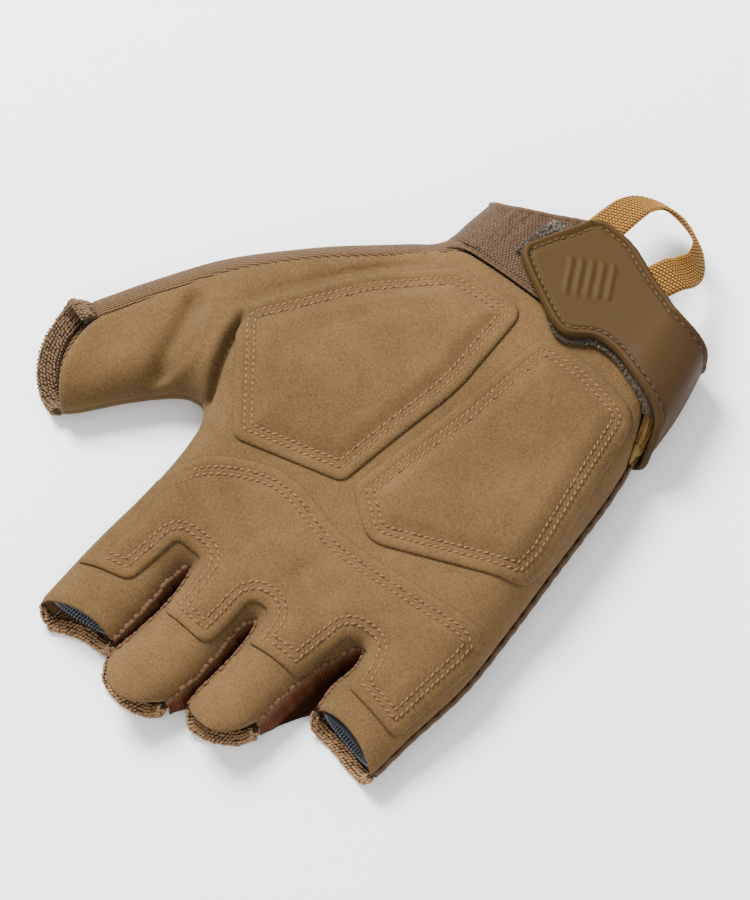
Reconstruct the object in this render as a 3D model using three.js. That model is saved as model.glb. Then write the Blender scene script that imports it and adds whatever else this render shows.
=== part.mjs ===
// A fingerless glove for the right hand, lying on its back with the palm up.
// Millimetres, +Z up out of the palm, +Y towards the cuff, -X towards the thumb.
import * as THREE from "three";

// Driving dimensions
const FABRIC_WALL = 1.5;
const FOURCHETTE_WALL = 1.1;
const LINING_WALL = 0.9;
const LINING_INSET = 2.9;
const SEAM_GAP = 0.35;
const OVERLAY_GAP = 0.65;
const OVERLAY_THICKNESS = 1.0;
const PAD_CROWN = 2.0;
const PAD_HOLLOW = 0.7;
const STRAP_THICKNESS = 2.0;
const STRAP_LIFT = 2.7;
const STRAP_GAP = 0.45;
const CUFF_RAISED_BY_STRAP = STRAP_THICKNESS + STRAP_GAP;
const TWILL_OVERLAP = 5.5;
const BOTTOM_ROUND = 7;
const WEBBING_WIDTH = 10.5;
const WEBBING_THICKNESS = 1.3;
const SAMPLES_PER_SPAN = 24;

// Height of the palm side and of the widest line, by distance along the hand
const BODY_SECTIONS = [
  { y: -112, top: 14.0, side: 6.5 },
  { y: -70, top: 15.5, side: 7.0 },
  { y: -45, top: 19.0, side: 8.0 },
  { y: -10, top: 24.0, side: 8.5 },
  { y: 25, top: 25.0, side: 8.5 },
  { y: 55, top: 23.0, side: 9.0 },
  { y: 95, top: 22.0, side: 9.0 },
];
const THUMB = { top: 18, side: 7.5, rootX: -30, blend: 40 };

// Sides of the glove seen from above, each run so that the glove is on its left,
// with the width of the round between the side and the flat of the palm
const SIDE_TABLES = {
  radial: {
    round: 13,
    points: [
      [-11.4, 75],
      [-12.2, 66],
      [-13.6, 54.8],
      [-20.4, 47.5],
      [-39.8, 26.9],
      [-56.5, 7.5],
      [-67.5, -10.5],
      [-77.8, -27.5],
    ],
  },
  crotch: {
    round: 12,
    points: [
      [-60, -58],
      [-57, -54.5],
      [-48.8, -43.2],
      [-40.3, -33.5],
      [-35.8, -30.3],
      [-30.8, -29.9],
      [-27.2, -34],
      [-25.2, -42],
      [-24.2, -56],
      [-24.8, -80],
      [-24, -104.6],
    ],
    bottomOfU: 5,
  },
  indexMiddle: {
    round: 10,
    points: [
      [0.2, -101],
      [0.6, -86],
      [0.3, -75],
      [1.6, -70.5],
      [3.0, -75],
      [4.4, -85],
      [2.9, -104.5],
    ],
    bottomOfU: 3,
  },
  middleRing: {
    round: 10,
    points: [
      [24.6, -103.5],
      [26.0, -94],
      [26.0, -84],
      [25.2, -74.5],
      [26.4, -70],
      [27.7, -74.5],
      [28.3, -84],
      [28.0, -94],
      [28.4, -100],
    ],
    bottomOfU: 4,
  },
  ringLittle: {
    round: 10,
    points: [
      [48.0, -91],
      [48.2, -81],
      [49.4, -71],
      [52.4, -60.5],
      [54.7, -56],
      [56.3, -60.5],
      [55.4, -69],
      [56.4, -76.5],
    ],
    bottomOfU: 4,
  },
  ulnar: {
    round: 13,
    points: [
      [81.8, -80.5],
      [82.4, -66],
      [84, -45],
      [82.5, -25],
      [79.6, 0],
      [76.8, 24.4],
      [75, 35],
      [73.9, 43],
      [72, 58.5],
      [67.6, 76],
    ],
  },
};

// Far edge of the cuff and the edge of the palm at the wrist, thumb side first
const CUFF_EDGE = [
  [-11.4, 75],
  [-7.2, 74],
  [-2.6, 75],
  [3.4, 78],
  [9.9, 81.6],
  [17.8, 85.3],
  [25, 86.2],
  [33, 84.6],
  [45, 80.8],
  [56, 78],
  [67.6, 76],
];
const WRIST_EDGE = [
  [-8.3, 50.2],
  [-4.7, 52.4],
  [6, 54],
  [20.4, 54.9],
  [34, 55.2],
  [45, 56.8],
  [55, 56.6],
  [62.3, 54.8],
  [67, 51],
  [70.6, 45],
  [74.3, 36],
];
const CROTCH_ROW_Y = -29.9;

// Elastic band: the edge next to the palm, and the shares of its width where it has columns
const BAND_NEAR_EDGE = [
  [-13.5, 56.2],
  [-4.7, 56.4],
  [6, 56.6],
  [20.4, 57.4],
  [34, 57.8],
  [45, 59.4],
  [55, 59.4],
  [63, 59],
  [71.9, 59.4],
];
const BAND_SHARES = [0.012, 0.04, 0.08, 0.15, 0.25, 0.37, 0.5, 0.63, 0.75, 0.85, 0.92, 0.96, 0.988];
const BAND_ROWS = 5;
const BAND_SIDE_ANGLE = 5;
const BAND_END_INSET = 0.6;

// How far each finger's palm lip, back lip and knitted hem stand past the side corners
const FINGERS = [
  { name: "index", palmLip: -1.8, backLip: -2.6, hem: 4, hemAtLeft: 1, hemAtRight: 1 },
  { name: "middle", palmLip: 7.4, backLip: 1.8, hem: 4, hemAtLeft: 3, hemAtRight: 1.5 },
  { name: "ring", palmLip: 6.4, backLip: 1.4, hem: 4, hemAtLeft: 2.5, hemAtRight: 1.5 },
  { name: "little", palmLip: -2.2, backLip: -1.5, hem: 4, hemAtLeft: 1.5, hemAtRight: 1 },
];
const THUMB_END = {
  palmLip: 3.4,
  backLip: 4.6,
  hem: 8,
  hemAtLeft: 4.5,
  hemAtRight: 3,
  axis: new THREE.Vector2(-0.864, -0.504),
};
const HEM_THICKNESS = 1.9;
const HEM_GAP = 0.7;

// Rows of the panels: counts of steps between the landmarks of the hand
const ROWS = {
  wristToCrotch: 6,
  cuffToCrotch: 8,
  crotchToLittleWeb: 3,
  littleWebToWebs: 2,
  finger: 5,
  thumb: 6,
};
const PALM_STEPS_ACROSS = 8;
const BACK_STEPS_ACROSS = 6;
const OUTLINE_STEP = 10;

// Depths of the lining's rings inside a finger's end
const FINGER_LINING = [3, 9, 15];

// Corners of the sewn-on pieces with the radius of each corner
const THENAR_CORNERS = [
  { x: -39.5, y: -4.4, radius: 8 },
  { x: -13.5, y: -34.4, radius: 4 },
  { x: 19.3, y: -24.3, radius: 4 },
  { x: 25.4, y: 18, radius: 60 },
  { x: 22.6, y: 50.4, radius: 6 },
  { x: -0.5, y: 47.4, radius: 10 },
];
const HYPOTHENAR_CORNERS = [
  { x: 32.2, y: 47.2, radius: 6 },
  { x: 22.9, y: -23.5, radius: 5 },
  { x: 36.5, y: -32.8, radius: 9 },
  { x: 78, y: -13.6, radius: 6 },
  { x: 78, y: -3, radius: 10 },
  { x: 68.2, y: 46.2, radius: 8 },
  { x: 49, y: 49.6, radius: 40 },
];
const PAD_RINGS = [
  { reach: 1.0, rise: 0 },
  { reach: 0.86, rise: 0.05 },
  { reach: 0.72, rise: 0.75 },
  { reach: 0.5, rise: 1 },
  { reach: 0.25, rise: 1 },
];

// Lower edge of the knuckle patch, a tab down each finger, from the thumb side
const PATCH_LOWER = [
  { x: -22.4, y: -89.6, radius: 0 },
  { x: -7.3, y: -85, radius: 4 },
  { x: -5.6, y: -66.6, radius: 3 },
  { x: 4.0, y: -65.9, radius: 2.5 },
  { x: 6.2, y: -84.6, radius: 2.5 },
  { x: 22, y: -84.8, radius: 4 },
  { x: 22.1, y: -65.8, radius: 4 },
  { x: 29.2, y: -64.6, radius: 3 },
  { x: 30.4, y: -75.8, radius: 2 },
  { x: 47.0, y: -74.4, radius: 3 },
  { x: 50.0, y: -55.4, radius: 4 },
  { x: 57.8, y: -54.8, radius: 3 },
  { x: 60.4, y: -67.4, radius: 3 },
  { x: 79.6, y: -69.6, radius: 3 },
  { x: 82.0, y: -42, radius: 0 },
];
const PATCH_UPPER = [
  [-22.4, -57],
  [-16.5, -44.8],
  [-2.2, -35.5],
  [9, -33],
  [30, -36.3],
  [57.9, -33.8],
  [76.5, -32],
  [82.0, -35],
];
const PATCH_STEP = 5;
const PATCH_ROWS = 5;

// The strap over the cuff: its two edges, from the tab's end to the little-finger side
const STRAP_TOP = [
  { far: [18.6, 83.5], near: [10.6, 67] },
  { far: [22, 86.4], near: [11.2, 61.2] },
  { far: [32.5, 86], near: [22, 56] },
  { far: [43, 82.2], near: [36.5, 50.8] },
  { far: [48, 80.6], near: [44.6, 56] },
  { far: [52, 79.5], near: [52.4, 56.4] },
];
const STRAP_TURN = [
  { angle: 80, beyond: 5, nearY: 55.2 },
  { angle: 50, beyond: 3, nearY: 52 },
  { angle: 25, beyond: 1.6, nearY: 46.5 },
  { angle: 0, beyond: 1, nearY: 42 },
  { angle: -25, beyond: 1, nearY: 41 },
  { angle: -50, beyond: 1.4, nearY: 41 },
  { angle: -75, beyond: 2, nearY: 41 },
];
const STRAP_UNDER = [
  { far: [56, 78.4], near: [62, 43.5] },
  { far: [38, 80], near: [42, 45.5] },
  { far: [20, 80.5], near: [20, 47] },
];
const STRAP_ACROSS = 5;

// Fastener layers under the tab: corners on the cuff, and the heights of their two faces
const LOOP_PATCH = {
  corners: [
    [10, 63],
    [50, 62],
    [50, 77],
    [6.5, 79],
  ],
  lower: 0.35,
  upper: 1.2,
};
const HOOK_PATCH = {
  corners: [
    [15, 65],
    [46, 61],
    [47, 76],
    [20, 77],
  ],
  lower: 1.5,
  upper: 2.4,
};

// Pleated fabric in the vent: its upper edge and the shape of its folds
const GUSSET_UPPER_EDGE = [
  [63.6, 57],
  [67.8, 52.8],
  [71, 46.4],
  [73, 40.6],
];
const GUSSET = { sideFrom: 58, sideTo: 38.4, sideAngle: 14, folds: 3, pleat: 0.7, sink: 0.9, wall: 1.1 };

// Thin cords sewn along an edge: half their width
const WRIST_CORD = { radius: 0.65, ahead: 1.2, lift: 0.25, reach: 0.72 };
const SEAM_CORD = { halfWidth: 0.75, halfHeight: 0.7, topY: 36, angle: 7 };

// Middle line of the webbing loop with the tilt of its face: 0 is flat, 90 stands on edge
const LOOP_STATIONS = [
  { x: 22.6, y: 84.3, z: 24, tilt: 2 },
  { x: 22.9, y: 96.8, z: 20.4, tilt: 14 },
  { x: 24.6, y: 103.4, z: 16.4, tilt: 38 },
  { x: 30.2, y: 107.6, z: 13.2, tilt: 66 },
  { x: 36.6, y: 107.4, z: 12.3, tilt: 74 },
  { x: 42.2, y: 105.2, z: 12.3, tilt: 74 },
  { x: 46.6, y: 100, z: 13.6, tilt: 60 },
  { x: 47.6, y: 93.2, z: 17.9, tilt: 30 },
  { x: 46.6, y: 87.4, z: 22.8, tilt: 9 },
  { x: 45, y: 81.4, z: 24.1, tilt: 2 },
];

const LOOP_EYE = new THREE.Vector2(33, 92);

// Point and inward direction along one side
class SideCurve {
  constructor({ points, round, bottomOfU = 0 }) {
    const line = points.map(([x, y]) => new THREE.Vector3(x, y, 0));
    const spline = new THREE.CatmullRomCurve3(line, false, "centripetal");
    const count = (points.length - 1) * SAMPLES_PER_SPAN;
    this.round = round;
    this.samples = spline.getPoints(count);
    this.lengths = [0];
    for (let i = 1; i <= count; i++) {
      this.lengths.push(this.lengths[i - 1] + this.samples[i].distanceTo(this.samples[i - 1]));
    }
    this.length = this.lengths[count];
    this.turn = this.lengths[bottomOfU * SAMPLES_PER_SPAN];
  }

  at(distance) {
    const s = THREE.MathUtils.clamp(distance, 0, this.length);
    let i = 1;
    while (i < this.lengths.length - 1 && this.lengths[i] < s) i++;
    const a = this.samples[i - 1];
    const b = this.samples[i];
    const t = (s - this.lengths[i - 1]) / (this.lengths[i] - this.lengths[i - 1]);
    const before = this.samples[Math.max(i - 3, 0)];
    const after = this.samples[Math.min(i + 2, this.samples.length - 1)];
    const along = new THREE.Vector2(after.x - before.x, after.y - before.y).normalize();
    return {
      x: a.x + (b.x - a.x) * t,
      y: a.y + (b.y - a.y) * t,
      inward: new THREE.Vector2(-along.y, along.x),
    };
  }

  // Distance along the side where it has the given y, searched from its far end
  atY(y) {
    let best = 0;
    this.samples.forEach((p, i) => {
      if (Math.abs(p.y - y) < Math.abs(this.samples[best].y - y)) best = i;
    });
    return this.lengths[best];
  }

  distanceTo(x, y) {
    let nearest = Infinity;
    for (let i = 1; i < this.samples.length; i++) {
      const a = this.samples[i - 1];
      const b = this.samples[i];
      const dx = b.x - a.x;
      const dy = b.y - a.y;
      const t = THREE.MathUtils.clamp(((x - a.x) * dx + (y - a.y) * dy) / (dx * dx + dy * dy), 0, 1);
      nearest = Math.min(nearest, Math.hypot(x - a.x - t * dx, y - a.y - t * dy));
    }
    return nearest;
  }
}

const sides = {};
for (const [name, table] of Object.entries(SIDE_TABLES)) sides[name] = new SideCurve(table);

const lerp = THREE.MathUtils.lerp;
const radians = THREE.MathUtils.degToRad;

// Top and side height of the body before the sides round it off
function bodyHeights(x, y) {
  let i = 1;
  while (i < BODY_SECTIONS.length - 1 && BODY_SECTIONS[i].y < y) i++;
  const a = BODY_SECTIONS[i - 1];
  const b = BODY_SECTIONS[i];
  const t = THREE.MathUtils.clamp((y - a.y) / (b.y - a.y), 0, 1);
  const thumb = THREE.MathUtils.smoothstep(THUMB.rootX - x, 0, THUMB.blend);
  return {
    top: lerp(lerp(a.top, b.top, t), THUMB.top, thumb),
    side: lerp(lerp(a.side, b.side, t), THUMB.side, thumb),
  };
}

// Quarter circle from 0 at the side to 1 where the flat begins
function roundOff(share) {
  return Math.sqrt(Math.max(0, 1 - (1 - Math.min(share, 1)) ** 2));
}

function floorLift(y) {
  return CUFF_RAISED_BY_STRAP * THREE.MathUtils.smoothstep(y, 22, 34);
}

function topHeight(x, y) {
  const { top, side } = bodyHeights(x, y);
  let share = 1;
  for (const s of Object.values(sides)) share *= roundOff(s.distanceTo(x, y) / s.round);
  return side + (top - side) * share;
}

function bottomHeight(x, y) {
  const { side } = bodyHeights(x, y);
  let share = 1;
  for (const s of Object.values(sides)) share *= roundOff(s.distanceTo(x, y) / BOTTOM_ROUND);
  return side - (side - floorLift(y)) * share;
}

// Point on the round of a side: angle 0 is the widest line, 90 the palm, -90 the floor
function edgePoint(side, s, angle) {
  const p = side.at(s);
  const width = angle < 0 ? BOTTOM_ROUND : side.round;
  const inset = width * (1 - Math.cos(radians(angle)));
  const x = p.x + p.inward.x * inset;
  const y = p.y + p.inward.y * inset;
  const heights = bodyHeights(x, y);
  const reach = angle < 0 ? heights.side - floorLift(y) : heights.top - heights.side;
  return new THREE.Vector3(x, y, heights.side + reach * Math.sin(radians(angle)));
}

const onTop = (x, y) => new THREE.Vector3(x, y, topHeight(x, y));
const onBottom = (x, y) => new THREE.Vector3(x, y, bottomHeight(x, y));

// An open surface as points and faces, from one or more grids that share their edges
class Surface {
  constructor() {
    this.points = [];
    this.faces = [];
    this.index = new Map();
  }

  addPoint(p) {
    const key = [p.x, p.y, p.z].map((v) => Math.round(v * 200)).join(" ");
    if (!this.index.has(key)) {
      this.index.set(key, this.points.length);
      this.points.push(p);
    }
    return this.index.get(key);
  }

  addFace(a, b, c) {
    if (a !== b && b !== c && c !== a) this.faces.push([a, b, c]);
  }

  addGrid(rows, flip = false) {
    const ids = rows.map((row) => row.map((p) => this.addPoint(p)));
    for (let r = 0; r + 1 < ids.length; r++) {
      for (let c = 0; c + 1 < ids[r].length; c++) {
        const [a, b, d, e] = [ids[r][c], ids[r + 1][c], ids[r + 1][c + 1], ids[r][c + 1]];
        if (flip) {
          this.addFace(a, d, b);
          this.addFace(a, e, d);
        } else {
          this.addFace(a, b, d);
          this.addFace(a, d, e);
        }
      }
    }
    return this;
  }

  normals() {
    const sums = this.points.map(() => new THREE.Vector3());
    const ab = new THREE.Vector3();
    const ac = new THREE.Vector3();
    for (const [a, b, c] of this.faces) {
      ab.subVectors(this.points[b], this.points[a]);
      ac.subVectors(this.points[c], this.points[a]);
      ab.cross(ac);
      for (const i of [a, b, c]) sums[i].add(ab);
    }
    return sums.map((n) => n.normalize());
  }
}

// Closed solid between two offsets of an open surface, with a wall along every open edge
function shell(surface, lower, upper, normals = surface.normals()) {
  const count = surface.points.length;
  const offset = (amount, i) => (typeof amount === "function" ? amount(i, surface.points[i]) : amount);
  const place = (amount) =>
    surface.points.map((p, i) => p.clone().addScaledVector(normals[i], offset(amount, i)));
  const points = [...place(upper), ...place(lower)];
  const faces = [];
  const directed = new Set();
  for (const [a, b, c] of surface.faces) {
    faces.push([a, b, c], [a + count, c + count, b + count]);
    for (const [from, to] of [[a, b], [b, c], [c, a]]) directed.add(from + " " + to);
  }
  for (const edge of directed) {
    const [from, to] = edge.split(" ").map(Number);
    if (directed.has(to + " " + from)) continue;
    faces.push([to, from, from + count], [to, from + count, to + count]);
  }
  return geometryOf(points, faces);
}

function geometryOf(points, faces) {
  const geometry = new THREE.BufferGeometry();
  const coordinates = points.flatMap((p) => [p.x, p.y, p.z]);
  geometry.setAttribute("position", new THREE.Float32BufferAttribute(coordinates, 3));
  geometry.setIndex(faces.flat());
  geometry.computeVertexNormals();
  return geometry;
}

// Closed tube through rings of points, each ring run the same way round
function tubeThrough(rings) {
  const around = rings[0].length;
  const points = rings.flat();
  const faces = [];
  for (let r = 0; r + 1 < rings.length; r++) {
    for (let k = 0; k < around; k++) {
      const a = r * around + k;
      const b = r * around + ((k + 1) % around);
      faces.push([a, b, b + around], [a, b + around, a + around]);
    }
  }
  const last = (rings.length - 1) * around;
  for (let k = 1; k + 1 < around; k++) {
    faces.push([0, k + 1, k], [last, last + k, last + k + 1]);
  }
  return geometryOf(points, faces);
}

// Round cord of an oval section along a path
function cordAlong(path, halfWidth, halfHeight, around = 6) {
  const up = new THREE.Vector3(0, 0, 1);
  const rings = path.map((p, i) => {
    const before = path[Math.max(i - 1, 0)];
    const after = path[Math.min(i + 1, path.length - 1)];
    const along = new THREE.Vector3().subVectors(after, before).normalize();
    const across = new THREE.Vector3().crossVectors(along, up).normalize();
    const raise = new THREE.Vector3().crossVectors(across, along);
    const ring = [];
    for (let k = 0; k < around; k++) {
      const turn = (2 * Math.PI * k) / around;
      ring.push(
        p
          .clone()
          .addScaledVector(across, halfWidth * Math.cos(turn))
          .addScaledVector(raise, -halfHeight * Math.sin(turn)),
      );
    }
    return ring;
  });
  return tubeThrough(rings);
}

const flat = (points) => points.map(([x, y]) => new THREE.Vector3(x, y, 0));

function splineAt(points, share) {
  return new THREE.CatmullRomCurve3(flat(points), false, "centripetal").getPointAt(share);
}

// Corners joined by arcs that touch both edges
function roundedPath(corners, closed, arcSteps = 3) {
  const out = [];
  corners.forEach((corner, i) => {
    const here = new THREE.Vector2(corner.x, corner.y);
    if (!closed && (i === 0 || i === corners.length - 1)) {
      out.push(here);
      return;
    }
    const previous = corners[(i + corners.length - 1) % corners.length];
    const next = corners[(i + 1) % corners.length];
    const back = new THREE.Vector2(previous.x, previous.y).sub(here);
    const ahead = new THREE.Vector2(next.x, next.y).sub(here);
    const bend = back.dot(ahead) / back.length() / ahead.length();
    const half = Math.acos(THREE.MathUtils.clamp(bend, -1, 1)) / 2;
    const reach = Math.min(corner.radius / Math.tan(half), back.length() * 0.45, ahead.length() * 0.45);
    const start = here.clone().addScaledVector(back.normalize(), reach);
    const end = here.clone().addScaledVector(ahead.normalize(), reach);
    for (let k = 0; k <= arcSteps; k++) {
      const t = k / arcSteps;
      const a = start.clone().lerp(here, t);
      const b = here.clone().lerp(end, t);
      out.push(a.lerp(b, t));
    }
  });
  return out;
}

// The same closed outline with no two points further apart than the step
function divided(outline, step) {
  return outline.flatMap((p, i) => {
    const next = outline[(i + 1) % outline.length];
    const pieces = Math.max(1, Math.ceil(p.distanceTo(next) / step));
    return Array.from({ length: pieces }, (_, k) => p.clone().lerp(next, k / pieces));
  });
}

const steps = (count) => Array.from({ length: count + 1 }, (_, i) => i / count);
const acrossShares = (count) => steps(count).map((t) => (1 - Math.cos(Math.PI * t)) / 2);

// Rows crowd towards the web of a slit
const easeOut = (t) => t ** 1.5;

// Inner lines of the palm run straight from the web of each slit to the wrist or cuff
function webPoint(side, angle) {
  const p = edgePoint(side, side.turn, angle);
  return new THREE.Vector2(p.x, p.y);
}

// One ribbon runs from the wrist or cuff down one finger. Each row has a left and a right
// end, and its points lie between them on the top or the bottom of the body.
function panelRibbons({ startEdge, startRows, slitAngle, thumbInset, ulnarAngle, crotchAngle }) {
  const webSides = [sides.crotch, sides.indexMiddle, sides.middleRing, sides.ringLittle];
  const webAngles = [crotchAngle, slitAngle, slitAngle, slitAngle];
  const webs = webSides.map((side, i) => webPoint(side, webAngles[i]));
  const startShares = [0.15, 0.36, 0.58, 0.8];
  const starts = startShares.map((share) => splineAt(startEdge, share));
  const first = splineAt(startEdge, 0);
  const last = splineAt(startEdge, 1);
  const rowsToLittleWeb = startRows + ROWS.crotchToLittleWeb;
  const rowsToWebs = rowsToLittleWeb + ROWS.littleWebToWebs;
  const rowCount = rowsToWebs + ROWS.finger;
  const webRow = [startRows, rowsToWebs, rowsToWebs, rowsToLittleWeb];

  // The line between ribbon i and ribbon i + 1, above its web
  const divider = (i, row) => {
    const crossing = new THREE.Vector2(lerp(starts[i].x, webs[i].x, 0.62), CROTCH_ROW_Y);
    if (i === 0) return new THREE.Vector2(starts[0].x, starts[0].y).lerp(webs[0], row / startRows);
    if (row <= startRows) return new THREE.Vector2(starts[i].x, starts[i].y).lerp(crossing, row / startRows);
    const littleLevel = webs[3].y;
    if (i === 3) {
      return crossing.lerp(webs[3], (row - startRows) / ROWS.crotchToLittleWeb);
    }
    const middle = new THREE.Vector2(lerp(crossing.x, webs[i].x, 0.65), littleLevel);
    if (row <= rowsToLittleWeb) return crossing.lerp(middle, (row - startRows) / ROWS.crotchToLittleWeb);
    return middle.lerp(webs[i], (row - rowsToLittleWeb) / ROWS.littleWebToWebs);
  };

  // The same line below its web, down the left or right side of the slit
  const slitEdge = (i, row, rightSide) => {
    const side = webSides[i];
    const share = easeOut((row - webRow[i]) / (rowCount - webRow[i]));
    const s = rightSide ? lerp(side.turn, side.length, share) : lerp(side.turn, 0, share);
    const p = edgePoint(side, s, webAngles[i]);
    return new THREE.Vector2(p.x, p.y);
  };

  const ulnarTop = sides.ulnar.atY(last.y);
  const ulnarEnd = (row) => {
    const p = edgePoint(sides.ulnar, lerp(ulnarTop, 0, row / rowCount), ulnarAngle);
    return new THREE.Vector2(p.x, p.y);
  };

  const fingers = FINGERS.map((finger, i) => {
    const rows = [];
    for (let row = 0; row <= rowCount; row++) {
      const left = row <= webRow[i] ? divider(i, row) : slitEdge(i, row, true);
      let right = ulnarEnd(row);
      if (i < 3) right = row <= webRow[i + 1] ? divider(i + 1, row) : slitEdge(i + 1, row, false);
      rows.push({ left, right, start: row === 0 ? [startShares[i], startShares[i + 1] ?? 1] : null });
    }
    return { finger, rows };
  });

  const thumbRows = [];
  const radialStart = sides.radial.atY(first.y);
  const crotchLevel = sides.radial.atY(5);
  const rowsOfThumb = startRows + ROWS.thumb;
  for (let row = 0; row <= rowsOfThumb; row++) {
    const s =
      row <= startRows
        ? lerp(radialStart, crotchLevel, row / startRows)
        : lerp(crotchLevel, sides.radial.length, (row - startRows) / ROWS.thumb);
    const p = sides.radial.at(s);
    const left = new THREE.Vector2(p.x + p.inward.x * thumbInset, p.y + p.inward.y * thumbInset);
    let right = divider(0, Math.min(row, startRows));
    if (row > startRows) {
      const share = easeOut((row - startRows) / ROWS.thumb);
      const q = edgePoint(sides.crotch, lerp(sides.crotch.turn, 0, share), crotchAngle);
      right = new THREE.Vector2(q.x, q.y);
    }
    thumbRows.push({ left, right, s, start: row === 0 ? [0, startShares[0]] : null });
  }
  return { fingers, thumbRows, rowCount, webRow, startEdge };
}

// Points of one row, moved past the side corners to follow a lip that bulges in its middle
function rowPoints(row, surfaceAt, count, startEdge, lip, ends = {}) {
  return acrossShares(count).map((t, k) => {
    let x = lerp(row.left.x, row.right.x, t);
    let y = lerp(row.left.y, row.right.y, t);
    if (row.start) {
      const p = splineAt(startEdge, lerp(row.start[0], row.start[1], t));
      x = p.x;
      y = p.y;
    }
    const end = k === 0 ? ends.left : k === count ? ends.right : null;
    const point = end ?? surfaceAt(x, y);
    return lip ? movedAlong(point, lip.axis, lip.amount * 4 * t * (1 - t)) : point;
  });
}

function movedAlong(point, axis, amount) {
  return new THREE.Vector3(point.x + axis.x * amount, point.y + axis.y * amount, point.z);
}

function lipOf(row, fromRow, toRow, amount, axis) {
  if (row <= fromRow) return null;
  return { amount: amount * ((row - fromRow) / (toRow - fromRow)) ** 2, axis };
}

function fingerAxis(lastRow) {
  const along = new THREE.Vector2().subVectors(lastRow.right, lastRow.left).normalize();
  return new THREE.Vector2(along.y, -along.x);
}

// Suede of the palm: one piece from the wrist to the lips, rolled under at the thumb crotch
function palmPanel() {
  const slitAngle = 22;
  const underAngles = [-60, -30, 0];
  const plan = panelRibbons({
    startEdge: WRIST_EDGE,
    startRows: ROWS.wristToCrotch,
    slitAngle,
    thumbInset: TWILL_OVERLAP,
    ulnarAngle: 14,
    crotchAngle: 0,
  });
  const surface = new Surface();
  const crotchEdge = (s) => edgePoint(sides.crotch, s, 0);
  plan.fingers.forEach(({ finger, rows }, i) => {
    const axis = fingerAxis(rows[rows.length - 1]);
    surface.addGrid(
      rows.map((row, r) => {
        const lip = lipOf(r, plan.rowCount - 3, plan.rowCount, finger.palmLip, axis);
        const ends = {};
        if (i === 0 && r >= plan.webRow[0]) {
          const share = easeOut((r - plan.webRow[0]) / (plan.rowCount - plan.webRow[0]));
          ends.left = crotchEdge(lerp(sides.crotch.turn, sides.crotch.length, share));
        }
        return rowPoints(row, onTop, PALM_STEPS_ACROSS, plan.startEdge, lip, ends);
      }),
    );
  });
  const thumbLast = plan.thumbRows.length - 1;
  surface.addGrid(
    plan.thumbRows.map((row, r) => {
      const lip = lipOf(r, thumbLast - 3, thumbLast, THUMB_END.palmLip, THUMB_END.axis);
      const ends = {};
      if (r >= ROWS.wristToCrotch) {
        const share = easeOut((r - ROWS.wristToCrotch) / ROWS.thumb);
        ends.right = crotchEdge(lerp(sides.crotch.turn, 0, share));
      }
      return rowPoints(row, onTop, PALM_STEPS_ACROSS, plan.startEdge, lip, ends);
    }),
  );
  surface.addGrid(crotchRows(plan).map((s) => underAngles.map((angle) => edgePoint(sides.crotch, s, angle))));
  return shell(surface, -FABRIC_WALL, 0);
}

// Distances along the crotch side where the ribbons of thumb and index have their rows
function crotchRows(plan) {
  const thumb = steps(ROWS.thumb).map((t) => lerp(sides.crotch.turn, 0, easeOut(t)));
  const rowsOfIndex = plan.rowCount - plan.webRow[0];
  const index = steps(rowsOfIndex).map((t) => lerp(sides.crotch.turn, sides.crotch.length, easeOut(t)));
  return [...thumb.reverse(), ...index.slice(1)];
}

const TWILL_EDGE_ANGLE = THREE.MathUtils.radToDeg(
  Math.acos(1 - (TWILL_OVERLAP - SEAM_GAP) / sides.radial.round),
);
const twillAngles = [1, 0.6, 0.25, 0].map((share) => TWILL_EDGE_ANGLE * share);

// Rows of the back's floor side: one grid for each finger and one for the thumb
function backGrids() {
  const plan = panelRibbons({
    startEdge: CUFF_EDGE,
    startRows: ROWS.cuffToCrotch,
    slitAngle: -48,
    thumbInset: 0,
    ulnarAngle: 0,
    crotchAngle: -70,
  });
  const ulnarTop = sides.ulnar.atY(splineAt(CUFF_EDGE, 1).y);
  const fingers = plan.fingers.map(({ finger, rows }, i) => {
    const axis = fingerAxis(rows[rows.length - 1]);
    const grid = rows.map((row, r) => {
      const lip = lipOf(r, plan.rowCount - 3, plan.rowCount, finger.backLip, axis);
      const ends = {};
      if (i === 3) ends.right = edgePoint(sides.ulnar, lerp(ulnarTop, 0, r / plan.rowCount), 0);
      return rowPoints(row, onBottom, BACK_STEPS_ACROSS, plan.startEdge, lip, ends);
    });
    return { finger, axis, grid };
  });
  const thumbLast = plan.thumbRows.length - 1;
  const thumb = plan.thumbRows.map((row, r) => {
    const lip = lipOf(r, thumbLast - 3, thumbLast, THUMB_END.backLip, THUMB_END.axis);
    const ends = { left: edgePoint(sides.radial, row.s, 0) };
    return rowPoints(row, onBottom, BACK_STEPS_ACROSS, plan.startEdge, lip, ends);
  });
  const radialRows = plan.thumbRows.map((row) => row.s);
  return { fingers, thumb, radialRows };
}

// Twill of the back: the floor side, the outer side of the thumb and the seam over it
function backPanel({ fingers, thumb, radialRows }) {
  const surface = new Surface();
  for (const { grid } of fingers) surface.addGrid(grid, true);
  surface.addGrid(thumb, true);
  const belowWrist = radialRows.filter((s) => sides.radial.at(s).y < WRIST_EDGE[0][1] + 3);
  surface.addGrid(
    belowWrist.map((s) => twillAngles.map((a) => edgePoint(sides.radial, s, a))),
    true,
  );
  return shell(surface, -FABRIC_WALL, 0);
}

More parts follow.
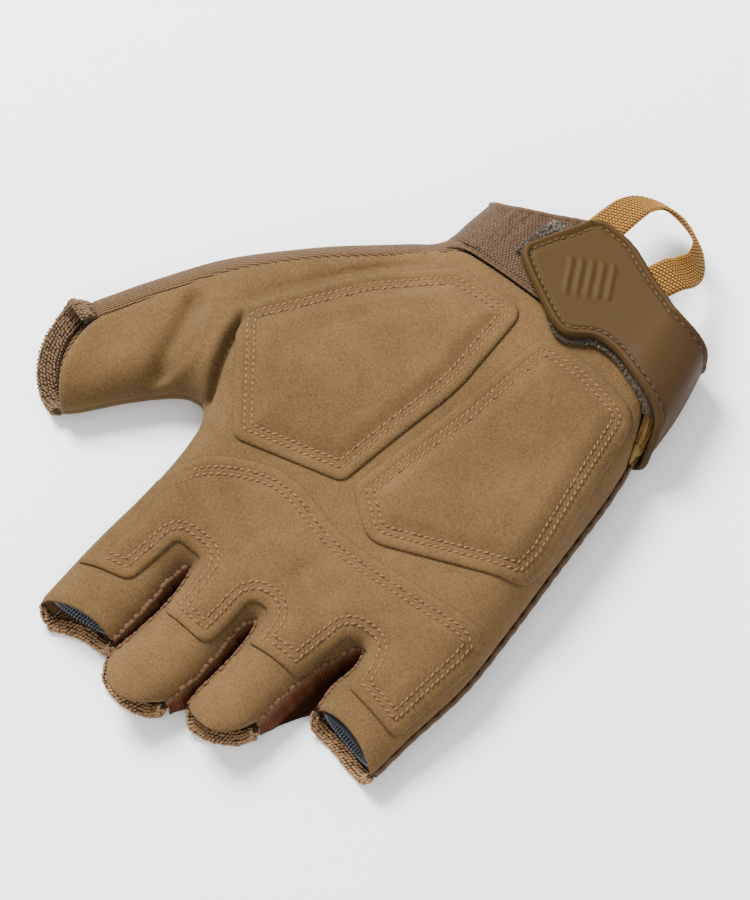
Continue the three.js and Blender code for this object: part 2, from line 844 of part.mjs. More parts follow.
// Ribbed strip between two fingers, round the web
function fourchette(side, rowsLeft, rowsRight) {
  const angles = [15, 0, -20, -38];
  const left = steps(rowsLeft).map((t) => lerp(side.turn, 0, easeOut(t)));
  const right = steps(rowsRight).map((t) => lerp(side.turn, side.length, easeOut(t)));
  const rows = [...left.reverse(), ...right.slice(1)];
  const surface = new Surface();
  surface.addGrid(rows.map((s) => angles.map((angle) => edgePoint(side, s, angle))), true);
  return shell(surface, -FOURCHETTE_WALL, 0);
}

// Raised pad: a flat sewn margin round a crown
function pad(corners) {
  const outline = divided(roundedPath(corners, true), OUTLINE_STEP);
  const centre = outline.reduce((sum, p) => sum.add(p), new THREE.Vector2()).divideScalar(outline.length);
  const surface = new Surface();
  const rise = [];
  const rings = PAD_RINGS.map(({ reach, rise: share }) =>
    outline.map((p) => {
      const q = centre.clone().lerp(p, reach);
      const id = surface.addPoint(onTop(q.x, q.y));
      rise[id] = share;
      return id;
    }),
  );
  const middle = surface.addPoint(onTop(centre.x, centre.y));
  rise[middle] = 1;
  rings.forEach((ring, r) => {
    ring.forEach((a, k) => {
      const b = ring[(k + 1) % ring.length];
      const inner = rings[r + 1];
      if (!inner) {
        surface.addFace(a, b, middle);
        return;
      }
      const c = inner[(k + 1) % ring.length];
      surface.addFace(a, b, c);
      surface.addFace(a, c, inner[k]);
    });
  });
  const lower = (i) => OVERLAY_GAP + PAD_HOLLOW * rise[i];
  const upper = (i) => OVERLAY_GAP + OVERLAY_THICKNESS + PAD_CROWN * rise[i];
  return shell(surface, lower, upper);
}

// y of a path at x, for a path that never turns back in x
function pathY(path, x) {
  let i = 1;
  while (i < path.length - 1 && path[i].x < x) i++;
  const a = path[i - 1];
  const b = path[i];
  return lerp(a.y, b.y, THREE.MathUtils.clamp((x - a.x) / (b.x - a.x || 1), 0, 1));
}

// Suede patch over the finger roots
function knucklePatch() {
  const lower = roundedPath(PATCH_LOWER, false, 3);
  const upper = new THREE.CatmullRomCurve3(flat(PATCH_UPPER), false, "centripetal").getPoints(60);
  const xs = [];
  lower.forEach((p, i) => {
    if (i === 0) {
      xs.push(p.x);
      return;
    }
    const before = lower[i - 1].x;
    const pieces = Math.max(1, Math.ceil((p.x - before) / PATCH_STEP));
    for (let k = 1; k <= pieces; k++) xs.push(lerp(before, p.x, k / pieces));
  });
  const columns = xs.map((x) => {
    const from = pathY(upper, x);
    const to = pathY(lower, x);
    return steps(PATCH_ROWS).map((t) => onTop(x, lerp(from, to, t)));
  });
  const surface = new Surface();
  surface.addGrid(columns, true);
  return shell(surface, OVERLAY_GAP, OVERLAY_GAP + OVERLAY_THICKNESS);
}

// Knitted hem past the lip of the back: the lip's points with the ends turned up the sides
function hem(lip, axis, { hem: width, hemAtLeft, hemAtRight }) {
  const surface = new Surface();
  const last = lip.length - 1;
  const rows = [0, 0.5, 1].map((out) =>
    lip.map((p, k) => {
      const t = k / last;
      const ends = lerp(hemAtLeft, hemAtRight, t);
      const wide = ends + (width - ends) * 4 * t * (1 - t);
      return movedAlong(p, axis, HEM_GAP + wide * out);
    }),
  );
  surface.addGrid(rows, true);
  return shell(surface, -HEM_THICKNESS, 0);
}

// Grey sleeve inside the end of a finger, between its two sides
function liningSleeve(left, right, depths) {
  const around = 10;
  const ringAt = (depth, inset) => {
    const l = left.at(left.length - depth);
    const r = right.at(depth);
    const middle = new THREE.Vector2((l.x + r.x) / 2, (l.y + r.y) / 2);
    const across = new THREE.Vector2(r.x - l.x, r.y - l.y);
    const half = across.length() / 2 - inset;
    across.normalize();
    const high = topHeight(middle.x, middle.y) - inset;
    const low = inset;
    const ring = [];
    for (let k = 0; k < around; k++) {
      const turn = (2 * Math.PI * k) / around;
      const out = Math.cos(turn) * half;
      const z = (high + low) / 2 + ((high - low) / 2) * Math.sin(turn);
      ring.push(new THREE.Vector3(middle.x + across.x * out, middle.y + across.y * out, z));
    }
    return ring;
  };
  const outer = depths.map((d) => ringAt(d, LINING_INSET));
  const inner = depths.map((d) => ringAt(d, LINING_INSET + LINING_WALL)).reverse();
  return ringTube([...outer, ...inner]);
}

// Closed ring solid whose rings run out along the outside and back along the inside
function ringTube(rings) {
  const around = rings[0].length;
  const faces = [];
  rings.forEach((_, r) => {
    const next = (r + 1) % rings.length;
    for (let k = 0; k < around; k++) {
      const a = r * around + k;
      const b = r * around + ((k + 1) % around);
      const c = next * around + ((k + 1) % around);
      const d = next * around + k;
      faces.push([a, c, b], [a, d, c]);
    }
  });
  return geometryOf(rings.flat(), faces);
}

// Elastic band over the wrist on the palm side
function cuffBand() {
  const radialFoot = sides.radial.atY(BAND_NEAR_EDGE[0][1]);
  const ulnarFoot = sides.ulnar.atY(BAND_NEAR_EDGE.at(-1)[1]);
  const ulnarHead = sides.ulnar.length - BAND_END_INSET;
  const surface = new Surface();
  const rows = steps(BAND_ROWS).map((v) => {
    const left = edgePoint(sides.radial, lerp(radialFoot, BAND_END_INSET, v), BAND_SIDE_ANGLE);
    const right = edgePoint(sides.ulnar, lerp(ulnarFoot, ulnarHead, v), BAND_SIDE_ANGLE);
    const middle = BAND_SHARES.map((u) => {
      const a = splineAt(BAND_NEAR_EDGE, u);
      const b = splineAt(CUFF_EDGE, u);
      return onTop(lerp(a.x, b.x, v), lerp(a.y, b.y, v));
    });
    return [left, ...middle, right];
  });
  surface.addGrid(rows, true);
  return shell(surface, -FABRIC_WALL, 0);
}

// Thin flat piece on the cuff under the strap's tab
function layerOnCuff({ corners, lower, upper }) {
  const surface = new Surface();
  const [a, b, c, d] = corners;
  const inside = (axis, u, v) => lerp(lerp(a[axis], b[axis], u), lerp(d[axis], c[axis], u), v);
  const rows = steps(4).map((v) => steps(5).map((u) => onTop(inside(0, u, v), inside(1, u, v))));
  surface.addGrid(rows, true);
  return shell(surface, lower, upper);
}

// Strap moulded in one piece: the tab, the turn round the little-finger side, the hidden end
function strap() {
  const shares = steps(STRAP_ACROSS);
  const between = ({ far, near }, place) =>
    shares.map((t) => place(lerp(far[0], near[0], t), lerp(far[1], near[1], t)));
  const turned = ({ angle, beyond, nearY }) => {
    const end = sides.ulnar.length;
    const to = sides.ulnar.atY(nearY);
    const points = shares.map((t) => edgePoint(sides.ulnar, lerp(end, to, t), angle));
    const along = points[0].clone().sub(points[1]).setZ(0).normalize();
    return points.map((p, i) => p.addScaledVector(along, beyond * (1 - shares[i])));
  };
  const rows = [
    ...STRAP_TOP.map((row) => between(row, onTop)),
    ...STRAP_TURN.map(turned),
    ...STRAP_UNDER.map((row) => between(row, onBottom)),
  ];
  const surface = new Surface();
  surface.addGrid(rows, true);
  const lift = (i, p) => lerp(STRAP_GAP, STRAP_LIFT, THREE.MathUtils.smoothstep(p.z, 10, 19));
  return shell(surface, lift, (i, p) => lift(i, p) + STRAP_THICKNESS);
}

// Pleated fabric in the vent between palm, cuff and back
function ventGusset() {
  const surface = new Surface();
  const rows = steps(6).map((t) => {
    const top = splineAt(GUSSET_UPPER_EDGE, t);
    const s = sides.ulnar.atY(lerp(GUSSET.sideFrom, GUSSET.sideTo, t));
    const side = edgePoint(sides.ulnar, s, GUSSET.sideAngle);
    return steps(GUSSET.folds * 3).map((v) => {
      const x = lerp(top.x, side.x, v);
      const y = lerp(top.y, side.y, v);
      const point = v === 1 ? side : onTop(x, y);
      const wave = Math.sin(v * GUSSET.folds * 2 * Math.PI) * Math.sin(Math.PI * Math.min(1, t + 0.1));
      return new THREE.Vector3(point.x, point.y, point.z - GUSSET.sink + GUSSET.pleat * wave);
    });
  });
  surface.addGrid(rows);
  const straightUp = surface.points.map(() => new THREE.Vector3(0, 0, 1));
  return shell(surface, -GUSSET.wall, 0, straightUp);
}

// Woven ribbon through stations, with its face tilted from flat to standing
function webbingLoop() {
  const centre = new THREE.CatmullRomCurve3(
    LOOP_STATIONS.map(({ x, y, z }) => new THREE.Vector3(x, y, z)),
    false,
    "centripetal",
  );
  const surface = new Surface();
  const count = (LOOP_STATIONS.length - 1) * 2;
  const rows = steps(count).map((t) => {
    const p = centre.getPoint(t);
    const place = t * (LOOP_STATIONS.length - 1);
    const i = Math.min(Math.floor(place), LOOP_STATIONS.length - 2);
    const tilt = radians(lerp(LOOP_STATIONS[i].tilt, LOOP_STATIONS[i + 1].tilt, place - i));
    const along = centre.getTangent(t);
    const out = new THREE.Vector2(p.x - LOOP_EYE.x, p.y - LOOP_EYE.y);
    const across = new THREE.Vector2(-along.y, along.x).normalize();
    if (across.dot(out) < 0) across.negate();
    const half = WEBBING_WIDTH / 2;
    return [-half, 0, half].map(
      (w) =>
        new THREE.Vector3(
          p.x + across.x * w * Math.cos(tilt),
          p.y + across.y * w * Math.cos(tilt),
          p.z - w * Math.sin(tilt),
        ),
    );
  });
  surface.addGrid(rows, true);
  return shell(surface, -WEBBING_THICKNESS / 2, WEBBING_THICKNESS / 2);
}

function wristBinding() {
  const path = steps(16).map((t) => {
    const p = splineAt(WRIST_EDGE, t * WRIST_CORD.reach);
    const point = onTop(p.x, p.y + WRIST_CORD.ahead);
    return new THREE.Vector3(point.x, point.y, point.z + WRIST_CORD.lift);
  });
  return cordAlong(path, WRIST_CORD.radius, WRIST_CORD.radius);
}

function sideSeamBinding() {
  const top = sides.ulnar.atY(SEAM_CORD.topY);
  const path = steps(18).map((t) => edgePoint(sides.ulnar, lerp(0.5, top, t), SEAM_CORD.angle));
  return cordAlong(path, SEAM_CORD.halfWidth, SEAM_CORD.halfHeight);
}

// Materials
const suede = { color: 0x9a7a50, roughness: 0.95 };
const twill = { color: 0x8a6a4a, roughness: 0.9 };
const ribbed = { color: 0x4a2413, roughness: 0.8 };
const knit = { color: 0x8c7355, roughness: 1 };
const lining = { color: 0x6f7680, roughness: 1 };
const elastic = { color: 0x86694c, roughness: 0.95 };
const rubber = { color: 0x7b6142, roughness: 0.55 };
const hook = { color: 0x3f2c1c, roughness: 1 };
const loopFuzz = { color: 0xa59c8c, roughness: 1 };
const fleece = { color: 0x8a6a34, roughness: 1 };
const webbing = { color: 0xb08a4c, roughness: 0.6 };
const piping = { color: 0x8d6a50, roughness: 0.8 };

const glove = new THREE.Group();

function add(name, geometry, finish) {
  const mesh = new THREE.Mesh(geometry, new THREE.MeshStandardMaterial({ ...finish, metalness: 0 }));
  mesh.name = name;
  glove.add(mesh);
}

add("palm_panel", palmPanel(), suede);
const back = backGrids();
add("back_panel", backPanel(back), twill);

const slitRows = ROWS.finger;
add("fourchette_index_middle", fourchette(sides.indexMiddle, slitRows, slitRows), ribbed);
add("fourchette_middle_ring", fourchette(sides.middleRing, slitRows, slitRows), ribbed);
const littleRows = ROWS.littleWebToWebs + ROWS.finger;
add("fourchette_ring_little", fourchette(sides.ringLittle, littleRows, littleRows), ribbed);

add("thenar_pad", pad(THENAR_CORNERS), suede);
add("hypothenar_pad", pad(HYPOTHENAR_CORNERS), suede);
add("knuckle_patch", knucklePatch(), suede);

const fingerSides = [
  { left: sides.crotch, right: sides.indexMiddle },
  { left: sides.indexMiddle, right: sides.middleRing },
  { left: sides.middleRing, right: sides.ringLittle },
  { left: sides.ringLittle, right: sides.ulnar },
];
const turnedUp = (side, s, angles) => angles.map((angle) => edgePoint(side, s, angle));
back.fingers.forEach(({ finger, axis, grid }, i) => {
  const { left, right } = fingerSides[i];
  const lip = [...grid[grid.length - 1]];
  if (i === 0) lip.unshift(...turnedUp(left, left.length, [-8, -40]));
  add(finger.name + "_hem", hem(lip, axis, finger), knit);
  add("lining_" + finger.name, liningSleeve(left, right, FINGER_LINING), lining);
});
const thumbLip = [
  ...turnedUp(sides.radial, sides.radial.length, twillAngles.slice(0, -1)),
  ...back.thumb[back.thumb.length - 1],
  ...turnedUp(sides.crotch, 0, [-40, -8]),
];
add("thumb_hem", hem(thumbLip, THUMB_END.axis, THUMB_END), knit);
add("lining_thumb", liningSleeve(sides.radial, sides.crotch, FINGER_LINING), lining);

add("cuff_band", cuffBand(), elastic);
add("wrist_binding", wristBinding(), piping);
add("side_seam_binding", sideSeamBinding(), piping);
add("vent_gusset", ventGusset(), fleece);
add("loop_patch", layerOnCuff(LOOP_PATCH), loopFuzz);
add("hook_patch", layerOnCuff(HOOK_PATCH), hook);
add("strap", strap(), rubber);
add("pull_loop", webbingLoop(), webbing);

// The origin is on the floor under the middle of the glove
const middle = new THREE.Box3().setFromObject(glove).getCenter(new THREE.Vector3());
glove.position.set(-middle.x, -middle.y, 0);

export default glove;
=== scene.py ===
import math

import bpy
import numpy as np
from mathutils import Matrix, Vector, geometry
from mathutils.bvhtree import BVHTree


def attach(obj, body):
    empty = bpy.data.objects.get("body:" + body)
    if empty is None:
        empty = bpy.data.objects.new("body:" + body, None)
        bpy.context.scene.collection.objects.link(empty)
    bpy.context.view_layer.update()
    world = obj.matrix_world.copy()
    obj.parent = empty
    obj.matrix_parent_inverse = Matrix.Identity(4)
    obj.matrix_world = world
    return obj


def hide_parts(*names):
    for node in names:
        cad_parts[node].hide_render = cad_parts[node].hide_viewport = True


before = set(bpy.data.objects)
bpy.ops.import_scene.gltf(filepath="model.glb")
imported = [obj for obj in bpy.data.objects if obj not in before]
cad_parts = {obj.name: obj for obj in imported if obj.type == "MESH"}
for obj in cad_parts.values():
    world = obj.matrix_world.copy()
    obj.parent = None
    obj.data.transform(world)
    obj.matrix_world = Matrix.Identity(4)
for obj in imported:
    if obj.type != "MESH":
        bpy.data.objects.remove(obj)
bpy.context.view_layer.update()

bl_info = {
    "name": "Fingerless Glove",
    "version": (1, 0, 0),
    "blender": (4, 5, 0),
    "location": "View3D > Sidebar > Glove",
    "description": "Dresses the solids of a fingerless glove with sewn suede, knit, webbing and rubber",
    "category": "Object",
}

MM = 0.001
# From the drawing frame of the tables below, in mm, to the frame of the solids
DRAWING_SHIFT = np.array([0.2474, 0.5468, 0.0])
UP = np.array([0.0, 0.0, 1.0])

# Heights of the palm side and of the widest line, by the place along the hand: y, top, side
BODY_SECTIONS = np.array([
    (-112, 14.0, 6.5),
    (-70, 15.5, 7.0),
    (-45, 19.0, 8.0),
    (-10, 24.0, 8.5),
    (25, 25.0, 8.5),
    (55, 23.0, 9.0),
    (95, 22.0, 9.0),
], float)
THUMB_TOP, THUMB_SIDE, THUMB_ROOT_X, THUMB_BLEND = 18.0, 7.5, -30.0, 40.0
BOTTOM_ROUND = 7.0
FABRIC_WALL = 1.5
CUFF_LIFT = 2.45
TWILL_OVERLAP = 9.2
SEAM_GAP = 0.35

# Sides of the glove seen from above: width of the round, points, and the bottom of a U
SIDE_TABLES = {
    "radial": (13, [(-11.4, 75), (-12.2, 66), (-13.6, 54.8), (-20.6, 47.6), (-40.7, 27.8),
                    (-58.0, 8.7), (-68.9, -9.6), (-77.8, -27.5)], 0),
    "crotch": (12, [(-60, -58), (-57, -54.5), (-48.8, -43.2), (-40.3, -33.5), (-35.8, -30.3),
                    (-30.8, -29.9), (-27.2, -34), (-25.2, -42), (-24.2, -56), (-24.8, -80),
                    (-24, -104.6)], 5),
    "index_middle": (10, [(1.1, -99.8), (1.3, -87), (0.5, -75), (1.6, -70.5), (2.8, -75),
                          (3.5, -85), (1.9, -104.8)], 3),
    "middle_ring": (10, [(24.6, -103.5), (26.0, -94), (26.0, -84), (25.2, -74.5), (26.4, -70),
                         (27.7, -74.5), (28.3, -84), (28.0, -94), (28.4, -100)], 4),
    "ring_little": (10, [(48.0, -91), (48.2, -81), (49.4, -71), (52.4, -60.5), (54.7, -56),
                         (56.3, -60.5), (55.4, -69), (56.4, -76.5)], 4),
    "ulnar": (13, [(81.8, -80.5), (82.4, -66), (84, -45), (82.5, -25), (79.6, 0), (76.8, 24.4),
                   (75, 35), (73.9, 43), (72, 58.5), (67.6, 76)], 0),
}
CUFF_EDGE = [(-11.4, 75), (-7.2, 74), (-2.6, 75), (3.4, 78), (9.9, 81.6), (17.8, 85.3), (25, 86.2),
             (33, 84.6), (45, 80.8), (56, 78), (67.6, 76)]
WRIST_EDGE = [(-8.3, 50.2), (-4.7, 52.4), (6, 54), (20.4, 54.9), (34, 55.2), (45, 56.8),
              (55, 56.6), (62.3, 54.8), (67, 51), (70.6, 45), (74.3, 36)]
BAND_NEAR_EDGE = [(-13.5, 56.2), (-4.7, 56.4), (6, 56.6), (20.4, 57.4), (34, 57.8), (45, 59.4),
                  (55, 59.4), (63, 59), (71.9, 59.4)]
CROTCH_ROW_Y = -29.9
START_SHARES = (0.15, 0.36, 0.58, 0.8)

# Each finger: how far its palm lip and its back lip stand out; then its hem's width in the middle, at
# its left and at its right end, and the share of that width which its left end starts with
FINGERS = {
    "index": (-1.8, -2.6, 4.0, 1.0, 1.0, 0.35),
    "middle": (7.4, 1.8, 4.0, 3.0, 1.5, 0.35),
    "ring": (6.4, 1.4, 4.0, 2.5, 1.5, 0.35),
    "little": (-2.2, -1.5, 4.0, 3.4, 1.0, 0.6),
}
THUMB_END = (3.4, 4.6, 6.6, 4.2, 2.6, 1.0)
THUMB_AXIS = np.array([-0.864, -0.504])
HEM_THICKNESS = 1.9
HEM_GAP = 0.5
FOURCHETTE_SLOPE = 2.3
KNIT_OVAL, KNIT_RADIUS = 1.15, 0.41
WEB_SIDES = ("crotch", "index_middle", "middle_ring", "ring_little")

# Outlines of the sewn-on pieces: corner x, y and radius
THENAR = [(-39.5, -4.4, 8), (-13.5, -34.4, 4), (19.3, -24.3, 4), (25.4, 18, 60), (22.6, 50.4, 6),
          (-0.5, 47.4, 10), (-18, 28, 40)]
HYPOTHENAR = [(32.2, 47.2, 6), (29.4, 14, 60), (22.9, -23.5, 5), (36.5, -32.8, 9), (78, -13.6, 6),
              (78, -3, 10), (68.2, 46.2, 8), (49, 49.6, 40)]
PATCH_LOWER = [(-22.4, -89.6, 0), (-7.3, -85, 4), (-5.6, -66.6, 3), (4.0, -65.9, 2.5),
               (6.2, -84.6, 2.5), (22, -84.8, 4), (22.1, -65.8, 4), (29.2, -64.6, 3),
               (30.4, -75.8, 2), (47.0, -74.4, 3), (50.0, -55.4, 4), (57.8, -54.8, 3),
               (60.4, -67.4, 3), (79.6, -69.6, 3), (82.0, -42, 0)]
PATCH_UPPER = [(82.0, -35), (76.5, -32), (57.9, -33.8), (30, -36.3), (9, -33), (-2.2, -35.5),
               (-16.5, -44.8), (-22.4, -57)]
STITCH_INSETS = (3.0, 5.0)
SEWN_LIFT = 0.1
# Their mesh: spacing along the outline and inside it, and rings of points along the edge
OUTLINE_STEP, FILL_STEP = 0.75, 1.15
EDGE_RINGS = (0.35, 0.8, 1.4, 2.0, 2.5, 3.0, 3.5, 4.1, 4.8, 5.3, 5.8, 6.4, 7.2, 8.1)

# The strap's two edges, far x, y and near x, y; its turn round the side, as the angle, the reach
# past the side's end and the near y; then its hidden end
STRAP_TOP = [((19.8, 86.4), (8.8, 63.0)), ((32.5, 86), (22, 56)),
             ((43, 82.2), (36.5, 50.8)), ((48, 80.6), (44.6, 56)), ((52, 79.5), (52.4, 56.4))]
STRAP_TURN = [(80, 5, 55.2), (50, 3, 52), (25, 1.6, 46.5), (0, 1, 42), (-25, 1, 41),
              (-50, 1.4, 41), (-75, 2, 41)]
STRAP_UNDER = [((56, 78.4), (62, 43.5)), ((38, 80), (42, 45.5)), ((20, 80.5), (20, 47))]
STRAP_THICKNESS, STRAP_LIFT, STRAP_GAP, STRAP_CORNER = 2.0, 2.7, 0.45, 4.0
# Its mesh: columns, the middle one, and the row on the hidden side where its stitches end
STRAP_COLUMNS, STRAP_MIDDLE, STRAP_LAST_ROW = 84, 42, 110
# Its stitched groove, as the distance from the near and from the far edge, and its stitches
NEAR_GROOVE, FAR_GROOVE = 2.4, 1.9
STRAP_STITCH_PITCH, STRAP_STITCH_LENGTH, STRAP_THREAD_RADIUS = 2.25, 1.6, 0.3
# The grip ribs of its tab: middle, half length and half width of their field, and their pitch
GRIP_X, GRIP_Y, GRIP_HALF_LENGTH, GRIP_HALF_WIDTH, GRIP_PITCH = 31, 69, 7.6, 6.2, 3.1

LOOP_LAYER = [(7.8, 63.8), (50, 62), (50, 80), (10.4, 78.4)]
HOOK_LAYER = [(15, 65), (46, 61), (47, 76), (20, 77)]
# Their pile: seed of the random draws, fibres of the loops, fibres at the hooks' edge, pale ones there
PILE_SEED, LOOP_FIBRES, HOOK_FIBRES, PALE_HOOK_FIBRES = 7, 2800, 1500, 220
GUSSET_UPPER_EDGE = [(63.6, 57), (67.8, 52.8), (71, 46.4), (73, 40.6)]
GUSSET_PLEATS = 3

# Middle line of the webbing with the tilt of its face
LOOP_STATIONS = np.array([
    (22.6, 84.3, 24, 2), (22.9, 96.8, 20.4, 14), (24.6, 103.4, 16.4, 38),
    (30.2, 107.6, 13.2, 66), (36.6, 107.4, 12.3, 74), (42.2, 105.2, 12.3, 74), (46.6, 100, 13.6, 60),
    (47.6, 93.2, 17.9, 30), (46.6, 87.4, 22.8, 9), (45, 81.4, 24.1, 2),
], float)
LOOP_EYE = np.array([33.0, 92.0])
WEBBING_WIDTH, WEBBING_THICKNESS = 10.5, 1.3
WEAVE_ROW_WIDTH = 0.82

# Soft folds of the palm skin: depth (minus is a valley), half width, points
FOLDS = [
    (-1.1, 1.2, [(-42.5, -7.0), (-41.2, -3.4), (-36.0, 6.0), (-28.2, 17.4), (-19.6, 29.8),
                 (-8.0, 43.5)]),
    (-2.9, 3.0, [(-53.8, -5.0), (-51.0, -12.0), (-47.6, -22.0), (-45.6, -30.0), (-45.4, -36.0)]),
    (1.0, 2.8, [(-47.6, -3.0), (-43.0, -14.5), (-41.2, -24.0), (-42.0, -33.5)]),
    (-1.5, 1.9, [(-43.6, -16.0), (-41.8, -23.5), (-43.0, -30.5), (-45.8, -36.5)]),
    (-4.9, 1.35, [(-37.6, -2.5), (-36.2, -6.5), (-34.6, -13.0), (-31.6, -21.0), (-28.9, -27.5),
                  (-28.0, -33.0)]),
    (1.0, 1.9, [(-40.6, -6.0), (-38.2, -14.5), (-35.2, -22.5), (-32.2, -29.0)]),
    (-0.9, 1.4, [(-26.4, -38.6), (-22.6, -36.9), (-18.6, -37.3), (-15.6, -38.6)]),
    (-1.3, 8.0, [(-16, -55), (-6, -48.5), (8, -47), (18, -52)]),
    (-1.0, 6.0, [(24, -50), (34, -54), (44, -50)]),
    (0.7, 6.0, [(-14, -66), (-2, -57), (12, -57)]),
    (-0.7, 5.0, [(-66, -22), (-62, -34), (-60, -46)]),
    (0.5, 4.0, [(-60, -8), (-56.5, -20), (-54.5, -32), (-53.5, -42)]),
]

# The photograph's view: the point looked at in the drawing frame, in mm, the angles in degrees, the
# distance in metres and the lens
LOOK_AT = (16.0, -7.0, 10.0)
AZIMUTH, ELEVATION, DISTANCE, LENS = 42, 66, 1.150, 159.72
# Lamps: name, place in metres, size, power
LAMPS = (
    ("key", (-0.75, 0.22, 0.95), 0.5, 52.0),
    ("fill", (0.55, -0.75, 0.9), 0.9, 6.0),
)


def mix(a, b, t):
    return a + (b - a) * t


def smoothstep(x, low, high):
    t = np.clip((np.asarray(x, float) - low) / (high - low), 0, 1)
    return t * t * (3 - 2 * t)


def bell(x, width):
    return np.exp(-(np.asarray(x) / width) ** 2)


def unit(vectors):
    return vectors / np.maximum(np.linalg.norm(vectors, axis=-1, keepdims=True), 1e-9)


def closed(outline):
    return np.concatenate([outline, outline[:1]])


def evened(values, reach):
    """Running mean over that many neighbours on each side."""
    return np.convolve(np.pad(values, reach, "edge"), np.ones(2 * reach + 1) / (2 * reach + 1), "valid")


def map_of(u, v):
    """A flat map from two coordinates, each given for the rows, the columns or all points of a grid."""
    return np.stack(np.broadcast_arrays(u, v), -1)


def catmull(points, per=24):
    """Centripetal spline through the points, with that many samples for each span."""
    p = [np.array(q, float) for q in points]
    p = [2 * p[0] - p[1]] + p + [2 * p[-1] - p[-2]]
    out = []
    for p0, p1, p2, p3 in zip(p, p[1:], p[2:], p[3:]):
        d0, d1, d2 = (max(np.linalg.norm(b - a) ** 0.5, 1e-6)
                      for a, b in ((p0, p1), (p1, p2), (p2, p3)))
        t1 = ((p1 - p0) / d0 - (p2 - p0) / (d0 + d1) + (p2 - p1) / d1) * d1
        t2 = ((p2 - p1) / d1 - (p3 - p1) / (d1 + d2) + (p3 - p2) / d2) * d1
        t = np.linspace(0, 1, per, endpoint=False)[:, None]
        out.append(p1 + t1 * t + (-3 * p1 + 3 * p2 - 2 * t1 - t2) * t**2
                   + (2 * p1 - 2 * p2 + t1 + t2) * t**3)
    return np.concatenate(out + [p[-2][None]])


def lengths_of(path):
    return np.concatenate([[0], np.cumsum(np.linalg.norm(np.diff(path, axis=0), axis=1))])


def at_lengths(path, s):
    """Points of a path at distances along it."""
    total = lengths_of(path)
    return np.stack([np.interp(s, total, path[:, k]) for k in range(path.shape[1])], -1)


def at_shares(path, share):
    return at_lengths(path, np.asarray(share) * lengths_of(path)[-1])


def stations_on(path, count, reach):
    """Evenly spaced points on a path, and the way that it runs there."""
    total = lengths_of(path)[-1]
    s = (np.arange(count) + 0.5) * total / count
    ahead, behind = at_lengths(path, np.minimum(s + reach, total)), at_lengths(path, np.maximum(s - reach, 0))
    return at_lengths(path, s), ahead - behind


def resampled(path, step):
    total = lengths_of(path)[-1]
    return at_lengths(path, np.linspace(0, total, max(2, int(round(total / step)) + 1)))


def close_to(path, xy, reach):
    """Which points are inside the path's box, let out by the reach."""
    return ((xy > path.min(0) - reach) & (xy < path.max(0) + reach)).all(1)


def nearest_on(path, xy):
    """Distance from each point to a path, the place on it in points, and the side."""
    a, d = path[:-1], np.diff(path, axis=0)
    dd = np.maximum((d * d).sum(1), 1e-12)
    far, place, hand = np.empty(len(xy)), np.empty(len(xy)), np.empty(len(xy))
    for k in range(0, len(xy), 2000):
        q = xy[k:k + 2000, None] - a
        t = np.clip((q * d).sum(2) / dd, 0, 1)
        r = q - t[..., None] * d
        m = (r * r).sum(2)
        i = m.argmin(1)
        n = np.arange(len(i))
        far[k:k + 2000] = np.sqrt(m[n, i])
        place[k:k + 2000] = i + t[n, i]
        hand[k:k + 2000] = np.sign(d[i, 0] * r[n, i, 1] - d[i, 1] * r[n, i, 0])
    return far, place, hand


class Side:
    """One side of the glove as a curve that keeps the glove on its left."""

    def __init__(self, width, points, turn):
        self.width = float(width)
        self.path = catmull(points)
        self.coarse = self.path[::2]
        self.s = lengths_of(self.path)
        self.length = self.s[-1]
        self.turn = self.s[turn * 24]
        along = np.gradient(self.path, axis=0)
        along = np.pad(along, ((3, 3), (0, 0)), "edge")
        along = unit(sum(np.roll(along, k, 0) for k in (-2, -1, 0, 1, 2))[3:-3])
        self.inward = np.stack([-along[:, 1], along[:, 0]], 1)

    def at(self, s):
        s = np.clip(s, 0, self.length)
        p = np.stack([np.interp(s, self.s, self.path[:, k]) for k in (0, 1)], -1)
        n = np.stack([np.interp(s, self.s, self.inward[:, k]) for k in (0, 1)], -1)
        return p, unit(n)

    def at_y(self, y):
        return self.s[np.abs(self.path[:, 1] - y).argmin()]


SIDES = {name: Side(*table) for name, table in SIDE_TABLES.items()}


def round_off(share):
    return np.sqrt(np.maximum(0, 1 - (1 - np.minimum(share, 1)) ** 2))


def body_heights(xy):
    """Height of the palm side and of the widest line at each point."""
    y = xy[..., 1]
    top, side = (np.mean([np.interp(y + d, BODY_SECTIONS[:, 0], BODY_SECTIONS[:, k])
                          for d in (-8, -4, 0, 4, 8)], axis=0) for k in (1, 2))
    thumb = smoothstep(THUMB_ROOT_X - xy[..., 0], 0, THUMB_BLEND)
    return mix(top, THUMB_TOP, thumb), mix(side, THUMB_SIDE, thumb)


def floor_lift(y):
    return CUFF_LIFT * smoothstep(y, 22, 34)


def side_share(xy, width=None):
    """From 0 on the line of a side to 1 where its round has come up."""
    share = np.ones(len(xy))
    for side in SIDES.values():
        w = width or side.width
        near = close_to(side.path, xy, w)
        if near.any():
            share[near] *= round_off(nearest_on(side.coarse, xy[near])[0] / w)
    return share


